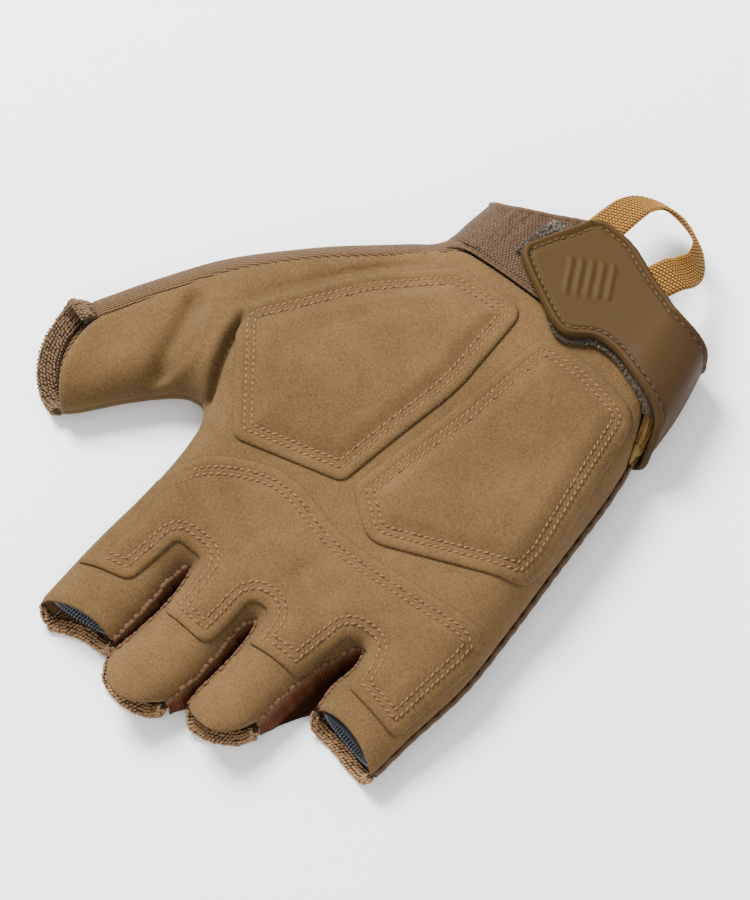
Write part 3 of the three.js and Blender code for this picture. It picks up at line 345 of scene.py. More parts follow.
def relief(xy):
    """Folds and puckers of the palm skin, in mm."""
    out = np.zeros(len(xy))
    for depth, width, points in FOLDS:
        path = catmull(points, 6)
        near = close_to(path, xy, 3 * width)
        far, place, _ = nearest_on(path, xy[near])
        share = place / (len(path) - 1)
        ends = smoothstep(share, 0, 0.22) * (1 - smoothstep(share, 0.8, 1.0) * 0.6)
        out[near] += depth * bell(far, width) * ends
    for name in WEB_SIDES[1:]:
        side = SIDES[name]
        near = close_to(side.path, xy, 7)
        far, place, _ = nearest_on(side.coarse, xy[near])
        s = place / (len(side.coarse) - 1) * side.length
        wave = np.sin(s * 1.9 + np.sin(s * 0.61) * 1.7) * 0.5 + np.sin(s * 3.7 + 1.0) * 0.3
        out[near] += (0.45 * wave - 0.1) * bell(far - 1.0, 1.7)
    return out


def top_height(xy):
    shape = xy.shape[:-1]
    flat = np.ascontiguousarray(xy.reshape(-1, 2))
    top, side = body_heights(flat)
    share = side_share(flat)
    z = side + (top - side) * share + relief(flat) * np.minimum(1, share * 1.6)
    return z.reshape(shape)


def bottom_height(xy):
    shape = xy.shape[:-1]
    flat = np.ascontiguousarray(xy.reshape(-1, 2))
    _, side = body_heights(flat)
    z = side - (side - floor_lift(flat[:, 1])) * side_share(flat, BOTTOM_ROUND)
    return z.reshape(shape)


def on_top(xy):
    return np.concatenate([xy, top_height(xy)[..., None]], -1)


def on_bottom(xy):
    return np.concatenate([xy, bottom_height(xy)[..., None]], -1)


def edge_point(side, s, angle):
    """Points on the round of a side: angle 0 is the widest line, 90 the palm, -90 the floor."""
    s, angle = np.broadcast_arrays(np.asarray(s, float), np.radians(np.asarray(angle, float)))
    p, n = side.at(s)
    width = np.where(angle < 0, BOTTOM_ROUND, side.width)
    xy = p + n * (width * (1 - np.cos(angle)))[..., None]
    top, middle = body_heights(xy)
    reach = np.where(angle < 0, middle - floor_lift(xy[..., 1]), top - middle)
    return np.concatenate([xy, (middle + reach * np.sin(angle))[..., None]], -1)


def across(count):
    return (1 - np.cos(np.pi * np.linspace(0, 1, count + 1))) / 2


def fine_rows(start_rows, start_step, thumb=False):
    """Rows of the panels as numbers along the ribbons, with several for each row of the solids."""
    past_start = [(6, 9)] if thumb else [(3, 9), (2, 7), (5, 8)]
    out, at = [np.array([0.0])], 0
    for rows, step in [(start_rows, start_step)] + past_start:
        out.append(at + np.arange(1, rows * step + 1) / step)
        at += rows
    return np.concatenate(out)


def ribbons(start_edge, start_rows, start_step, slit_angle, thumb_inset, ulnar_angle, crotch_angle,
            columns, lips, height):
    """Grids of points for the four fingers and the thumb, on the palm or on the back."""
    webs = [SIDES[n] for n in WEB_SIDES]
    angles = [crotch_angle, slit_angle, slit_angle, slit_angle]
    web = [edge_point(w, w.turn, a)[:2] for w, a in zip(webs, angles)]
    line = catmull(start_edge)
    starts = [at_shares(line, s) for s in START_SHARES]
    to_little, to_webs, last = start_rows + 3, start_rows + 5, start_rows + 10
    web_row = [start_rows, to_webs, to_webs, to_little]
    t = across(columns)

    def divider(i, r):
        r = np.minimum(r, web_row[i])[:, None]
        if i == 0:
            return mix(starts[0], web[0], r / start_rows)
        crossing = np.array([mix(starts[i][0], web[i][0], 0.62), CROTCH_ROW_Y])
        above = mix(starts[i], crossing, r / start_rows)
        if i == 3:
            return np.where(r <= start_rows, above, mix(crossing, web[3], (r - start_rows) / 3))
        middle = np.array([mix(crossing[0], web[i][0], 0.65), web[3][1]])
        low = np.where(r <= to_little, mix(crossing, middle, (r - start_rows) / 3),
                       mix(middle, web[i], (r - to_little) / 2))
        return np.where(r <= start_rows, above, low)

    def slit_edge(i, r, right):
        share = (np.maximum(r - web_row[i], 0) / (last - web_row[i])) ** 1.5
        w = webs[i]
        s = mix(w.turn, w.length if right else 0.0, share)
        return edge_point(w, s, angles[i])[:, :2]

    def grid_of(left, right, r, span):
        xy = left[:, None] + (right - left)[:, None] * t[None, :, None]
        first = r < 1
        at_one = np.abs(r - 1).argmin()
        curve = at_shares(line, mix(span[0], span[1], t))
        xy[first] = mix(curve[None], xy[at_one][None], r[first][:, None, None])
        return np.concatenate([xy, height(xy)[..., None]], -1)

    def lip(grid, r, amount, axis, end):
        share = np.maximum(0, (r - (end - 3)) / 3) ** 2
        grid[..., :2] += axis * (amount * share[:, None] * 4 * t * (1 - t))[..., None]
        return grid

    r = fine_rows(start_rows, start_step)
    ulnar = SIDES["ulnar"]
    ulnar_top = ulnar.at_y(start_edge[-1][1])
    out = {}
    for i, (name, amounts) in enumerate(FINGERS.items()):
        left = np.where((r <= web_row[i])[:, None], divider(i, r), slit_edge(i, r, True))
        if i == 3:
            right = edge_point(ulnar, ulnar_top * (1 - r / last), ulnar_angle)[:, :2]
        else:
            past_web = (r > web_row[i + 1])[:, None]
            right = np.where(past_web, slit_edge(i + 1, r, False), divider(i + 1, r))
        span = (START_SHARES[i], START_SHARES[i + 1] if i < 3 else 1.0)
        along = right[-1] - left[-1]
        axis = np.array([along[1], -along[0]]) / np.linalg.norm(along)
        out[name] = (lip(grid_of(left, right, r, span), r, amounts[lips], axis, last), axis)
    r = fine_rows(start_rows, start_step, thumb=True)
    radial = SIDES["radial"]
    top_s, low_s = radial.at_y(start_edge[0][1]), radial.at_y(5)
    s = np.where(r <= start_rows, mix(top_s, low_s, r / start_rows),
                 mix(low_s, radial.length, (r - start_rows) / 6))
    p, n = radial.at(s)
    share = (np.maximum(r - start_rows, 0) / 6) ** 1.5
    right = edge_point(webs[0], webs[0].turn * (1 - share), crotch_angle)[:, :2]
    right = np.where((r <= start_rows)[:, None], divider(0, r), right)
    grid = grid_of(p + n * thumb_inset, right, r, (0.0, START_SHARES[0]))
    out["thumb"] = (lip(grid, r, THUMB_END[lips], THUMB_AXIS, start_rows + 6), THUMB_AXIS)
    index_share = (np.maximum(fine_rows(start_rows, start_step) - start_rows, 0) / 10) ** 1.5
    turn, length = webs[0].turn, webs[0].length
    crotch_s = np.concatenate([(turn * (1 - share[r >= start_rows]))[::-1],
                               mix(turn, length, index_share[index_share > 0])])
    return out, s, crotch_s


# ---------------------------------------------------------------- meshes

# Points closer than this are one point
WELD_STEP = 0.01


class Cloth:
    """An open surface in mm, gathered from grids and welded where they meet."""

    def __init__(self):
        self.points, self.faces, self.marks, self.count = [], [], [], 0

    def grid(self, points, flip=False, uv=None):
        rows, cols = points.shape[:2]
        ids = self.count + np.arange(rows * cols).reshape(rows, cols)
        a, b, c, d = ids[:-1, :-1], ids[1:, :-1], ids[1:, 1:], ids[:-1, 1:]
        quads = np.stack([a, d, c, b] if flip else [a, b, c, d], -1).reshape(-1, 4)
        self.points.append(points.reshape(-1, 3))
        self.marks.append(points[..., :2].reshape(-1, 2) if uv is None else uv.reshape(-1, 2))
        self.faces.append(quads)
        self.count += rows * cols
        return self

    def triangles(self, points, faces):
        self.points.append(points)
        self.marks.append(points[:, :2])
        self.faces.append(np.concatenate([faces, faces[:, :1]], 1) + self.count)
        self.count += len(points)
        return self

    def welded(self):
        points, marks = np.concatenate(self.points), np.concatenate(self.marks)
        faces = np.concatenate(self.faces)
        keys = np.round(points / WELD_STEP).astype(np.int64)
        _, first, same = np.unique(keys, axis=0, return_index=True, return_inverse=True)
        points, marks, faces = points[first], marks[first], same.reshape(-1)[faces]
        clean = []
        for f in faces.tolist():
            f = [v for k, v in enumerate(f) if v != f[k - 1]]
            if len(f) == 4 and (f[0] == f[2] or f[1] == f[3]):
                continue
            if len(f) >= 3:
                clean.append(tuple(f))
        return points, clean, marks


def face_normals_to_points(points, faces):
    tri = np.array([(f[0], f[1], f[2]) for f in faces]
                   + [(f[0], f[2], f[3]) for f in faces if len(f) == 4])
    a, b, c = (points[tri[:, k]] for k in range(3))
    n = np.cross(b - a, c - a)
    total = np.zeros_like(points)
    for k in range(3):
        np.add.at(total, tri[:, k], n)
    return unit(total)


# Share of its wall by which a solid's faces draw together at its open edges
RIM_INSET = 0.28


def thickened(cloth, lower, upper, round_edge=0.35):
    """Closed solid between two offsets of a cloth, with a rounded wall at its open edges."""
    points, faces, marks = cloth.welded() if isinstance(cloth, Cloth) else cloth
    normal = face_normals_to_points(points, faces)
    n = len(points)
    low = np.broadcast_to(lower(points) if callable(lower) else lower, n).astype(float).copy()
    high = np.broadcast_to(upper(points) if callable(upper) else upper, n).astype(float).copy()
    directed = {(v, f[(k + 1) % len(f)]): True for f in faces for k, v in enumerate(f)}
    rim = [(a, b) for a, b in directed if (b, a) not in directed]
    outward = np.zeros_like(points)
    for a, b in rim:
        side = np.cross(points[b] - points[a], normal[a])
        outward[a] += side
        outward[b] += side
    on_rim = np.linalg.norm(outward, axis=1) > 0
    outward = unit(outward)
    wall = high - low
    high[on_rim] -= wall[on_rim] * RIM_INSET
    low[on_rim] += wall[on_rim] * RIM_INSET
    top, bottom = points + normal * high[:, None], points + normal * low[:, None]
    ids = np.flatnonzero(on_rim)
    middle_of = {int(v): 2 * n + k for k, v in enumerate(ids)}
    middle = (top[ids] + bottom[ids]) / 2 + outward[ids] * (wall[ids] * round_edge)[:, None]
    out = list(faces) + [tuple(v + n for v in f[::-1]) for f in faces]
    for a, b in rim:
        ma, mb = middle_of[a], middle_of[b]
        out += [(b, a, ma, mb), (mb, ma, a + n, b + n)]
    return np.concatenate([top, bottom, middle]), out, np.concatenate([marks, marks, marks[ids]])


def merged(*solids):
    """Several (points, faces, marks) as one, with the part number of each point."""
    points, faces, marks, part, count = [], [], [], [], 0
    for k, (p, f, m) in enumerate(solids):
        points.append(p)
        marks.append(m)
        faces += [tuple(v + count for v in face) for face in f]
        part.append(np.full(len(p), k))
        count += len(p)
    return np.concatenate(points), faces, np.concatenate(marks), np.concatenate(part)


def tube(rings, closed_ends=True):
    """Tube through rings of points, each run the same way round."""
    count, around = rings.shape[:2]
    ids = np.arange(count * around).reshape(count, around)
    nxt = np.roll(ids, -1, axis=1)
    quads = np.stack([ids[:-1], nxt[:-1], nxt[1:], ids[1:]], -1).reshape(-1, 4)
    faces = [tuple(q) for q in quads.tolist()]
    if closed_ends:
        faces += [tuple(ids[0][::-1].tolist()), tuple(ids[-1].tolist())]
    u = np.repeat(np.arange(count)[:, None], around, 1)
    v = np.repeat(np.arange(around)[None], count, 0)
    return rings.reshape(-1, 3), faces, np.stack([u, v], -1).reshape(-1, 2).astype(float)


def frames_along(path, up=UP):
    """The two ways across a path: sideways and up."""
    along = unit(np.gradient(path, axis=0))
    side = unit(np.cross(along, up))
    return side, np.cross(side, along)


def cord(path, half_width, half_height, around=10, up=UP):
    """Oval cord along a path."""
    side, raised = frames_along(path, up)
    turn = np.linspace(0, 2 * np.pi, around, endpoint=False)
    w = np.broadcast_to(half_width, len(path))[:, None]
    h = np.broadcast_to(half_height, len(path))[:, None]
    rings = (path[:, None] + side[:, None] * (w * np.cos(turn))[..., None]
             - raised[:, None] * (h * np.sin(turn))[..., None])
    return tube(rings)


# One stitch or knit leg: a short bent capsule from -0.5 to 0.5 along x, with z up
CAPSULE_RINGS = ((-0.5, 0.25), (-0.42, 0.75), (-0.2, 1.0), (0.2, 1.0), (0.42, 0.75), (0.5, 0.25))
CAPSULE_AROUND = 6


def capsules(place, along, normal, length, radius, arch=0.0, flat=1.0):
    """Many capsules: centre, direction and up of each."""
    along = unit(along)
    side = unit(np.cross(normal, along))
    normal = np.cross(along, side)
    count = len(place)
    length, radius = np.broadcast_to(length, count), np.broadcast_to(radius, count)
    turn = np.linspace(0, 2 * np.pi, CAPSULE_AROUND, endpoint=False)
    base = []
    for x, r in CAPSULE_RINGS:
        base += [(x, r * math.cos(a), r * math.sin(a), arch * (1 - (2 * x) ** 2)) for a in turn]
    base = np.array(base)
    p = (place[:, None]
         + along[:, None] * (length[:, None] * base[:, 0])[..., None]
         + side[:, None] * (radius[:, None] * base[:, 1])[..., None]
         + normal[:, None] * (radius[:, None] * base[:, 2] * flat + base[:, 3])[..., None])
    rings, k = len(CAPSULE_RINGS), CAPSULE_AROUND
    one = [(r * k + a, r * k + (a + 1) % k, (r + 1) * k + (a + 1) % k, (r + 1) * k + a)
           for r in range(rings - 1) for a in range(k)]
    one += [tuple(range(k))[::-1], tuple((rings - 1) * k + a for a in range(k))]
    size = rings * k
    faces = [tuple(v + i * size for v in f) for i in range(count) for f in one]
    marks = np.repeat(np.stack([np.arange(count) * 0.618 % 1.0, np.zeros(count)], -1), size, 0)
    return p.reshape(-1, 3), faces, marks


def make_piece(name, solid, materials, nodes=()):
    """Mesh object at the origin, in metres, that rides on the glove; its parts' numbers pick materials."""
    points, faces, marks, *parts = solid
    points = points + DRAWING_SHIFT
    points[:, 2] = np.maximum(points[:, 2], 0.0)
    mesh = bpy.data.meshes.new(name)
    mesh.from_pydata((points * MM).tolist(), [], faces)
    mesh.validate()
    layer = mesh.uv_layers.new(name="cloth")
    loops = np.empty(len(mesh.loops), np.int32)
    mesh.loops.foreach_get("vertex_index", loops)
    layer.data.foreach_set("uv", (marks[loops]).astype(np.float32).ravel())
    for material in materials:
        mesh.materials.append(material)
    if parts and len(materials) > 1:
        starts = np.empty(len(mesh.polygons), np.int32)
        mesh.polygons.foreach_get("loop_start", starts)
        mesh.polygons.foreach_set("material_index", parts[0][loops[starts]].astype(np.int32))
    mesh.shade_smooth()
    mesh.update()
    piece = bpy.data.objects.new(name, mesh)
    bpy.context.scene.collection.objects.link(piece)
    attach(piece, "root")
    if nodes:
        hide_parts(*nodes)
    return piece


def rounded(corners, whole, steps=9):
    """Outline through the corners, each rounded by its radius; a part of one keeps its two ends sharp."""
    out = []
    for i, (x, y, radius) in enumerate(corners):
        here = np.array([x, y], float)
        if not whole and i in (0, len(corners) - 1):
            out.append(here)
            continue
        before = np.array(corners[i - 1][:2]) - here
        after = np.array(corners[(i + 1) % len(corners)][:2]) - here
        lb, la = np.linalg.norm(before), np.linalg.norm(after)
        half = math.acos(np.clip(before @ after / lb / la, -1, 1)) / 2
        reach = min(radius / math.tan(half), lb * 0.45, la * 0.45)
        start, end = here + before / lb * reach, here + after / la * reach
        for t in np.linspace(0, 1, steps):
            out.append(mix(mix(start, here, t), mix(here, end, t), t))
    return np.array(out)


def inside(outline, xy):
    x, y = xy[:, 0], xy[:, 1]
    hit = np.zeros(len(xy), bool)
    for (x0, y0), (x1, y1) in zip(outline, np.roll(outline, -1, 0)):
        if y0 != y1:
            hit ^= ((y0 > y) != (y1 > y)) & (x < (x1 - x0) * (y - y0) / (y1 - y0) + x0)
    return hit


def offset_ring(outline, inset):
    """The outline moved inwards, without the points that a corner folds over."""
    along = unit(np.roll(outline, -1, 0) - np.roll(outline, 1, 0))
    ring = outline + np.stack([-along[:, 1], along[:, 0]], 1) * inset
    return ring[nearest_on(closed(outline), ring)[0] > inset - 0.04]


def filled(outline, step, insets):
    """Flat triangles inside an anticlockwise outline, with rings of points along its edge."""
    rings = [offset_ring(outline, d)[::1 if d < 2 else 2] for d in insets]
    low, high = outline.min(0), outline.max(0)
    rows = np.arange(low[1], high[1], step * 0.87)
    hexes = np.array([(x + (k % 2) * step / 2, y) for k, y in enumerate(rows)
                      for x in np.arange(low[0], high[0], step)])
    hexes = hexes[inside(outline, hexes)]
    hexes = hexes[nearest_on(closed(outline), hexes)[0] > insets[-1] + step * 0.6]
    flat = np.concatenate([outline] + rings + [hexes])
    count = len(outline)
    edges = [(i, (i + 1) % count) for i in range(count)]
    result = geometry.delaunay_2d_cdt([Vector(p) for p in flat], edges, [list(range(count))], 1, 1e-5)
    xy = np.array([tuple(v) for v in result[0]])
    faces = np.array([f for f in result[2] if len(f) == 3])
    a, b, c = (xy[faces[:, k]] for k in range(3))
    wrong = np.cross(b - a, c - a) < 0
    faces[wrong] = faces[wrong][:, ::-1]
    return xy, faces


def anticlockwise(outline):
    area = np.cross(outline, np.roll(outline, -1, 0)).sum()
    return outline if area > 0 else outline[::-1].copy()


def volume(solid):
    points, faces, _ = solid
    total = 0.0
    for f in faces:
        a = points[f[0]]
        for k in range(1, len(f) - 1):
            total += a @ np.cross(points[f[k]], points[f[k + 1]])
    return total / 6


def facing_out(solid):
    """The solid with its faces turned outwards."""
    points, faces, marks = solid
    return (points, [f[::-1] for f in faces], marks) if volume(solid) < 0 else solid


def tree_of(solid):
    return BVHTree.FromPolygons([tuple(p) for p in solid[0]], solid[1])


def dropped(tree, xy):
    """Points and normals where lines straight down meet a solid."""
    place, normal, keep = [], [], []
    for k, (x, y) in enumerate(xy):
        hit, n, _, _ = tree.ray_cast(Vector((x, y, 90.0)), Vector((0, 0, -1)))
        if hit is not None:
            place.append(tuple(hit))
            normal.append(tuple(n))
            keep.append(k)
    return np.array(place), np.array(normal), np.array(keep, int)


def stitches_on(tree, path, sizes, drop=None):
    """A row of stitches along a flat path, laid on a solid."""
    pitch, width = sizes.stitch_pitch / MM, sizes.thread_width / MM
    xy, along = stations_on(path, max(2, int(round(lengths_of(path)[-1] / pitch))), 0.5)
    keep = np.linalg.norm(along, axis=1) > 1e-6
    if drop is not None:
        keep &= ~drop(xy, along)
    xy, along = xy[keep], along[keep]
    place, normal, hit = dropped(tree, xy)
    along = unit(np.concatenate([along[hit], np.zeros((len(hit), 1))], 1))
    along = along - normal * (along * normal).sum(1)[:, None]
    thread = capsules(place - normal * 0.02, along + np.cross(normal, along) * 0.3, normal,
                      sizes.stitch_length / MM, width / 2, arch=0.13)
    # Small dark capsules sunk past each stitch's end: painted shade where the thread enters the suede
    hole_shades = capsules(place + along * (pitch / 2) - normal * 0.12, along, normal,
                     width * 1.5, width * 0.46, flat=0.5)
    return merged(thread, hole_shades)


# ---------------------------------------------------------------- finishes

class Value:
    """A number socket that can be added, multiplied and so on."""

    def __init__(self, shader, socket):
        self.shader, self.socket = shader, socket

    def _math(self, operation, *values):
        node = self.shader.node("ShaderNodeMath", {"operation": operation}, *values)
        return Value(self.shader, node.outputs[0])

    def __add__(self, o): return self._math("ADD", self, o)
    def __radd__(self, o): return self._math("ADD", o, self)
    def __sub__(self, o): return self._math("SUBTRACT", self, o)
    def __rsub__(self, o): return self._math("SUBTRACT", o, self)
    def __mul__(self, o): return self._math("MULTIPLY", self, o)
    def __rmul__(self, o): return self._math("MULTIPLY", o, self)
    def sin(self): return self._math("SINE", self)
    def abs(self): return self._math("ABSOLUTE", self)
    def fract(self): return self._math("FRACT", self)
    def floor(self): return self._math("FLOOR", self)
    def at_least(self, o): return self._math("MAXIMUM", self, o)
    def at_most(self, o): return self._math("MINIMUM", self, o)

    def ramp(self, low, high):
        settings = {"interpolation_type": "SMOOTHSTEP"}
        node = self.shader.node("ShaderNodeMapRange", settings, self, low, high, 0.0, 1.0)
        return Value(self.shader, node.outputs[0])


class Shader:
    """One finish: its nodes are made from sums of values."""

    def __init__(self, name, roughness, sheen=0.0, sheen_tint=None, specular=0.5):
        self.material = bpy.data.materials.new(name)
        self.material.use_nodes = True
        self.nodes, self.links = self.material.node_tree.nodes, self.material.node_tree.links
        self.nodes.clear()
        self.output = self.nodes.new("ShaderNodeOutputMaterial")
        self.bsdf = self.nodes.new("ShaderNodeBsdfPrincipled")
        self.links.new(self.bsdf.outputs[0], self.output.inputs[0])
        self.bsdf.inputs["Roughness"].default_value = roughness
        self.bsdf.inputs["Specular IOR Level"].default_value = specular
        self.bsdf.inputs["Sheen Weight"].default_value = sheen
        if sheen_tint:
            self.bsdf.inputs["Sheen Tint"].default_value = (*sheen_tint, 1)
        self.point = self.node("ShaderNodeTexCoord", {}).outputs["Object"]

    def node(self, kind, settings, *values):
        node = self.nodes.new(kind)
        for key, value in settings.items():
            setattr(node, key, value)
        for socket, value in zip(node.inputs, values):
            if isinstance(value, Value):
                self.links.new(value.socket, socket)
            elif isinstance(value, bpy.types.NodeSocket):
                self.links.new(value, socket)
            elif value is not None:
                socket.default_value = value
        return node

    def noise(self, scale, detail, rough):
        node = self.node("ShaderNodeTexNoise", {})
        self.links.new(self.point, node.inputs["Vector"])
        node.inputs["Scale"].default_value = scale
        node.inputs["Detail"].default_value = detail
        node.inputs["Roughness"].default_value = rough
        return Value(self, node.outputs[0])

    def axes(self, socket=None):
        node = self.node("ShaderNodeSeparateXYZ", {}, socket or self.point)
        return [Value(self, s) for s in node.outputs]

    def cloth(self):
        """The piece's own map, in mm."""
        uv = self.node("ShaderNodeUVMap", {"uv_map": "cloth"}).outputs[0]
        return self.axes(uv)[:2]

    def scaled(self, colour, value):
        node = self.node("ShaderNodeVectorMath", {"operation": "SCALE"})
        if isinstance(colour, bpy.types.NodeSocket):
            self.links.new(colour, node.inputs[0])
        else:
            node.inputs[0].default_value = tuple(colour)[:3]
        self.links.new(value.socket, node.inputs["Scale"])
        return node.outputs[0]

    def mixed(self, factor, a, b):
        node = self.nodes.new("ShaderNodeMix")
        node.data_type = "RGBA"
        self.links.new(factor.socket, node.inputs[0])
        for socket, value in ((node.inputs[6], a), (node.inputs[7], b)):
            if isinstance(value, bpy.types.NodeSocket):
                self.links.new(value, socket)
            else:
                socket.default_value = (*tuple(value)[:3], 1)
        return node.outputs[2]

    def finish(self, colour, height=None, depth=0.0002, strength=1.0, roughness=None):
        self.links.new(colour, self.bsdf.inputs["Base Color"])
        if roughness is not None:
            self.links.new(roughness.socket, self.bsdf.inputs["Roughness"])
        if height is not None:
            bump = self.node("ShaderNodeBump", {})
            bump.inputs["Strength"].default_value = strength
            bump.inputs["Distance"].default_value = depth
            self.links.new(height.socket, bump.inputs["Height"])
            self.links.new(bump.outputs[0], self.bsdf.inputs["Normal"])
        return self.material


def suede_finish(colours):
    s = Shader("suede", 0.96, sheen=0.05, sheen_tint=(0.8, 0.62, 0.42), specular=0.2)
    grain, speck = s.noise(2700, 1, 0.5), s.noise(1400, 2, 0.7)
    nap, cloud = s.noise(170, 3, 0.55), s.noise(30, 2, 0.5)
    shade = 1.0 + 1.0 * (speck - 0.5) + 1.1 * (grain - 0.5) + 0.35 * (nap - 0.5) + 0.5 * (cloud - 0.5)
    warm = s.mixed(cloud.ramp(0.38, 0.66), colours.suede, colours.suede_warm)
    return s.finish(s.scaled(warm, shade), 0.6 * grain + speck, 0.00025, 0.55)


def twill_finish(colours):
    s = Shader("twill", 0.9, sheen=0.03, sheen_tint=(0.8, 0.6, 0.45), specular=0.25)
    u, v = s.cloth()
    fibre, drift = s.noise(1900, 2, 0.6), s.noise(260, 2, 0.5)
    across_rib = (u * -0.911 + v * 0.412 + 0.25 * drift) * (2 * math.pi / 1.05)
    along_rib = (u * 0.412 + v * 0.911) * (2 * math.pi / 0.9)
    rib = across_rib.sin() * 0.5 + 0.5
    yarn = (along_rib + across_rib * 0.5).sin() * 0.5 + 0.5
    shade = 0.14 + 1.2 * rib + 0.5 * yarn + 0.5 * (fibre - 0.5)
    return s.finish(s.scaled(colours.twill, shade), rib + 0.5 * yarn + 0.35 * fibre, 0.0006, 0.9)


def knit_finish(name, colour):
    s = Shader(name, 0.95, sheen=0.03, sheen_tint=(0.8, 0.65, 0.5), specular=0.15)
    u, _ = s.cloth()
    fibre, patch = s.noise(2400, 2, 0.6), s.noise(260, 2, 0.5)
    shade = 0.62 + 0.5 * fibre + 0.3 * u.fract() + 0.3 * (patch - 0.5)
    return s.finish(s.scaled(colour, shade), fibre, 0.0002, 0.6)


def ribbed_finish(name, top, deep):
    s = Shader(name, 0.8, sheen=0.01, sheen_tint=(0.8, 0.5, 0.35), specular=0.1)
    u, v = s.cloth()
    fibre, patch = s.noise(2200, 2, 0.6), s.noise(200, 2, 0.5)
    line = (u * (2 * math.pi / 0.8)).sin() * 0.5 + 0.5
    tone = s.mixed(v.ramp(0.02, 0.24), top, deep)
    # The last factor darkens the run across to the right finger, at the bottom of the slit: painted shade
    shade = (0.45 + 0.75 * line + 0.3 * fibre + 0.3 * patch) * (1.0 - 0.6 * v.ramp(0.55, 0.72))
    return s.finish(s.scaled(tone, shade), line + 0.3 * fibre, 0.0002, 0.7)


def plain_cloth_finish(name, colour, roughness=0.95, grain=1700, depth=0.00022, contrast=0.4):
    s = Shader(name, roughness, sheen=0.03, specular=0.2)
    fibre, patch = s.noise(grain, 3, 0.65), s.noise(120, 2, 0.5)
    shade = 1.0 - contrast * 0.6 + contrast * fibre + 0.16 * patch
    return s.finish(s.scaled(colour, shade), fibre, depth, 0.8)


def elastic_finish(colours):
    s = Shader("woven_elastic", 0.9, sheen=0.02, sheen_tint=(0.8, 0.6, 0.5), specular=0.25)
    u, v = s.cloth()
    fibre, patch = s.noise(2100, 3, 0.65), s.noise(420, 3, 0.6)
    u, v = u + 0.9 * patch, v + 0.7 * patch
    row = v * (1 / 0.9)
    dash = ((u + row.floor() * 0.47).fract() - 0.5).abs().ramp(0.36, 0.08)
    line = (row.fract() - 0.5).abs().ramp(0.5, 0.16)
    grain = dash * line
    # Painted shade: darker off the raised dashes of the weave, in its hollows
    lit = s.mixed((grain * 0.62 + (fibre - 0.5) * 2.2 + 0.22).at_most(1.0).at_least(0.0),
                  colours.elastic_painted_shade, colours.elastic)
    return s.finish(s.scaled(lit, 0.75 + 0.2 * fibre + 0.36 * patch), grain + 0.8 * fibre, 0.0004, 0.9)


def rubber_finish(colours):
    s = Shader("moulded_rubber", 0.6, specular=0.08)
    x = s.axes()[0]
    fine, cloud = s.noise(1500, 2, 0.5), s.noise(45, 2, 0.5)
    # Painted light: the tone shifts across the strap towards the side, from x 14 to 74 mm
    tone = s.mixed((x * 1000).ramp(14, 74), colours.rubber, colours.rubber_side_painted_light)
    return s.finish(s.scaled(tone, 0.9 + 0.1 * fine + 0.1 * cloud), fine, 0.00008, 0.35,
                    roughness=0.52 + 0.14 * cloud)


def webbing_finish(colours):
    s = Shader("webbing", 0.7, sheen=0.02, sheen_tint=(0.95, 0.75, 0.4), specular=0.15)
    _, v = s.cloth()
    fibre, patch = s.noise(2600, 2, 0.6), s.noise(300, 2, 0.5)
    # Painted shade: darker where the weave's floats sink, between them
    tone = s.mixed(v.ramp(0.25, 0.86), colours.webbing_painted_shade, colours.webbing)
    return s.finish(s.scaled(tone, 0.74 + 0.3 * fibre + 0.22 * patch), fibre, 0.00015, 0.5)


def thread_finish(name, colour):
    s = Shader(name, 0.7, sheen=0.02, specular=0.25)
    u, _ = s.cloth()
    twist = s.noise(2200, 1, 0.5)
    return s.finish(s.scaled(colour, 0.68 + 0.3 * u.fract() + 0.3 * twist), twist, 0.00012, 0.6)


# ---------------------------------------------------------------- properties

def length_property(name, description, mm):
    return bpy.props.FloatProperty(name=name, description=description, default=mm * MM, unit="LENGTH",
                                   precision=5)


def colour_property(name, rgb):
    return bpy.props.FloatVectorProperty(name=name, description="Base colour of the " + name.lower(),
                                         subtype="COLOR", size=3, min=0, max=1, default=rgb)


class GloveSizes(bpy.types.PropertyGroup):
    stitch_pitch: length_property("Stitch pitch", "Distance from one stitch to the next", 1.95)
    stitch_length: length_property("Stitch length", "Length of the thread that shows in one stitch", 1.5)
    thread_width: length_property("Thread width", "Thickness of the sewing thread", 0.6)
    knit_pitch: length_property("Knit pitch", "Width of one loop of the knitted hems", 1.05)
    pad_crown: length_property("Pad crown", "Height of a pad's stuffing over its sewn margin", 2.1)
    suede_thickness: length_property("Suede thickness", "Thickness of the sewn-on suede pieces", 1.05)
    rib_pitch: length_property("Rib pitch", "Distance between the ribs of the fabric between the fingers",
                               0.8)
    weave_pitch: length_property("Weave pitch", "Length of one float of the webbing's weave", 1.3)


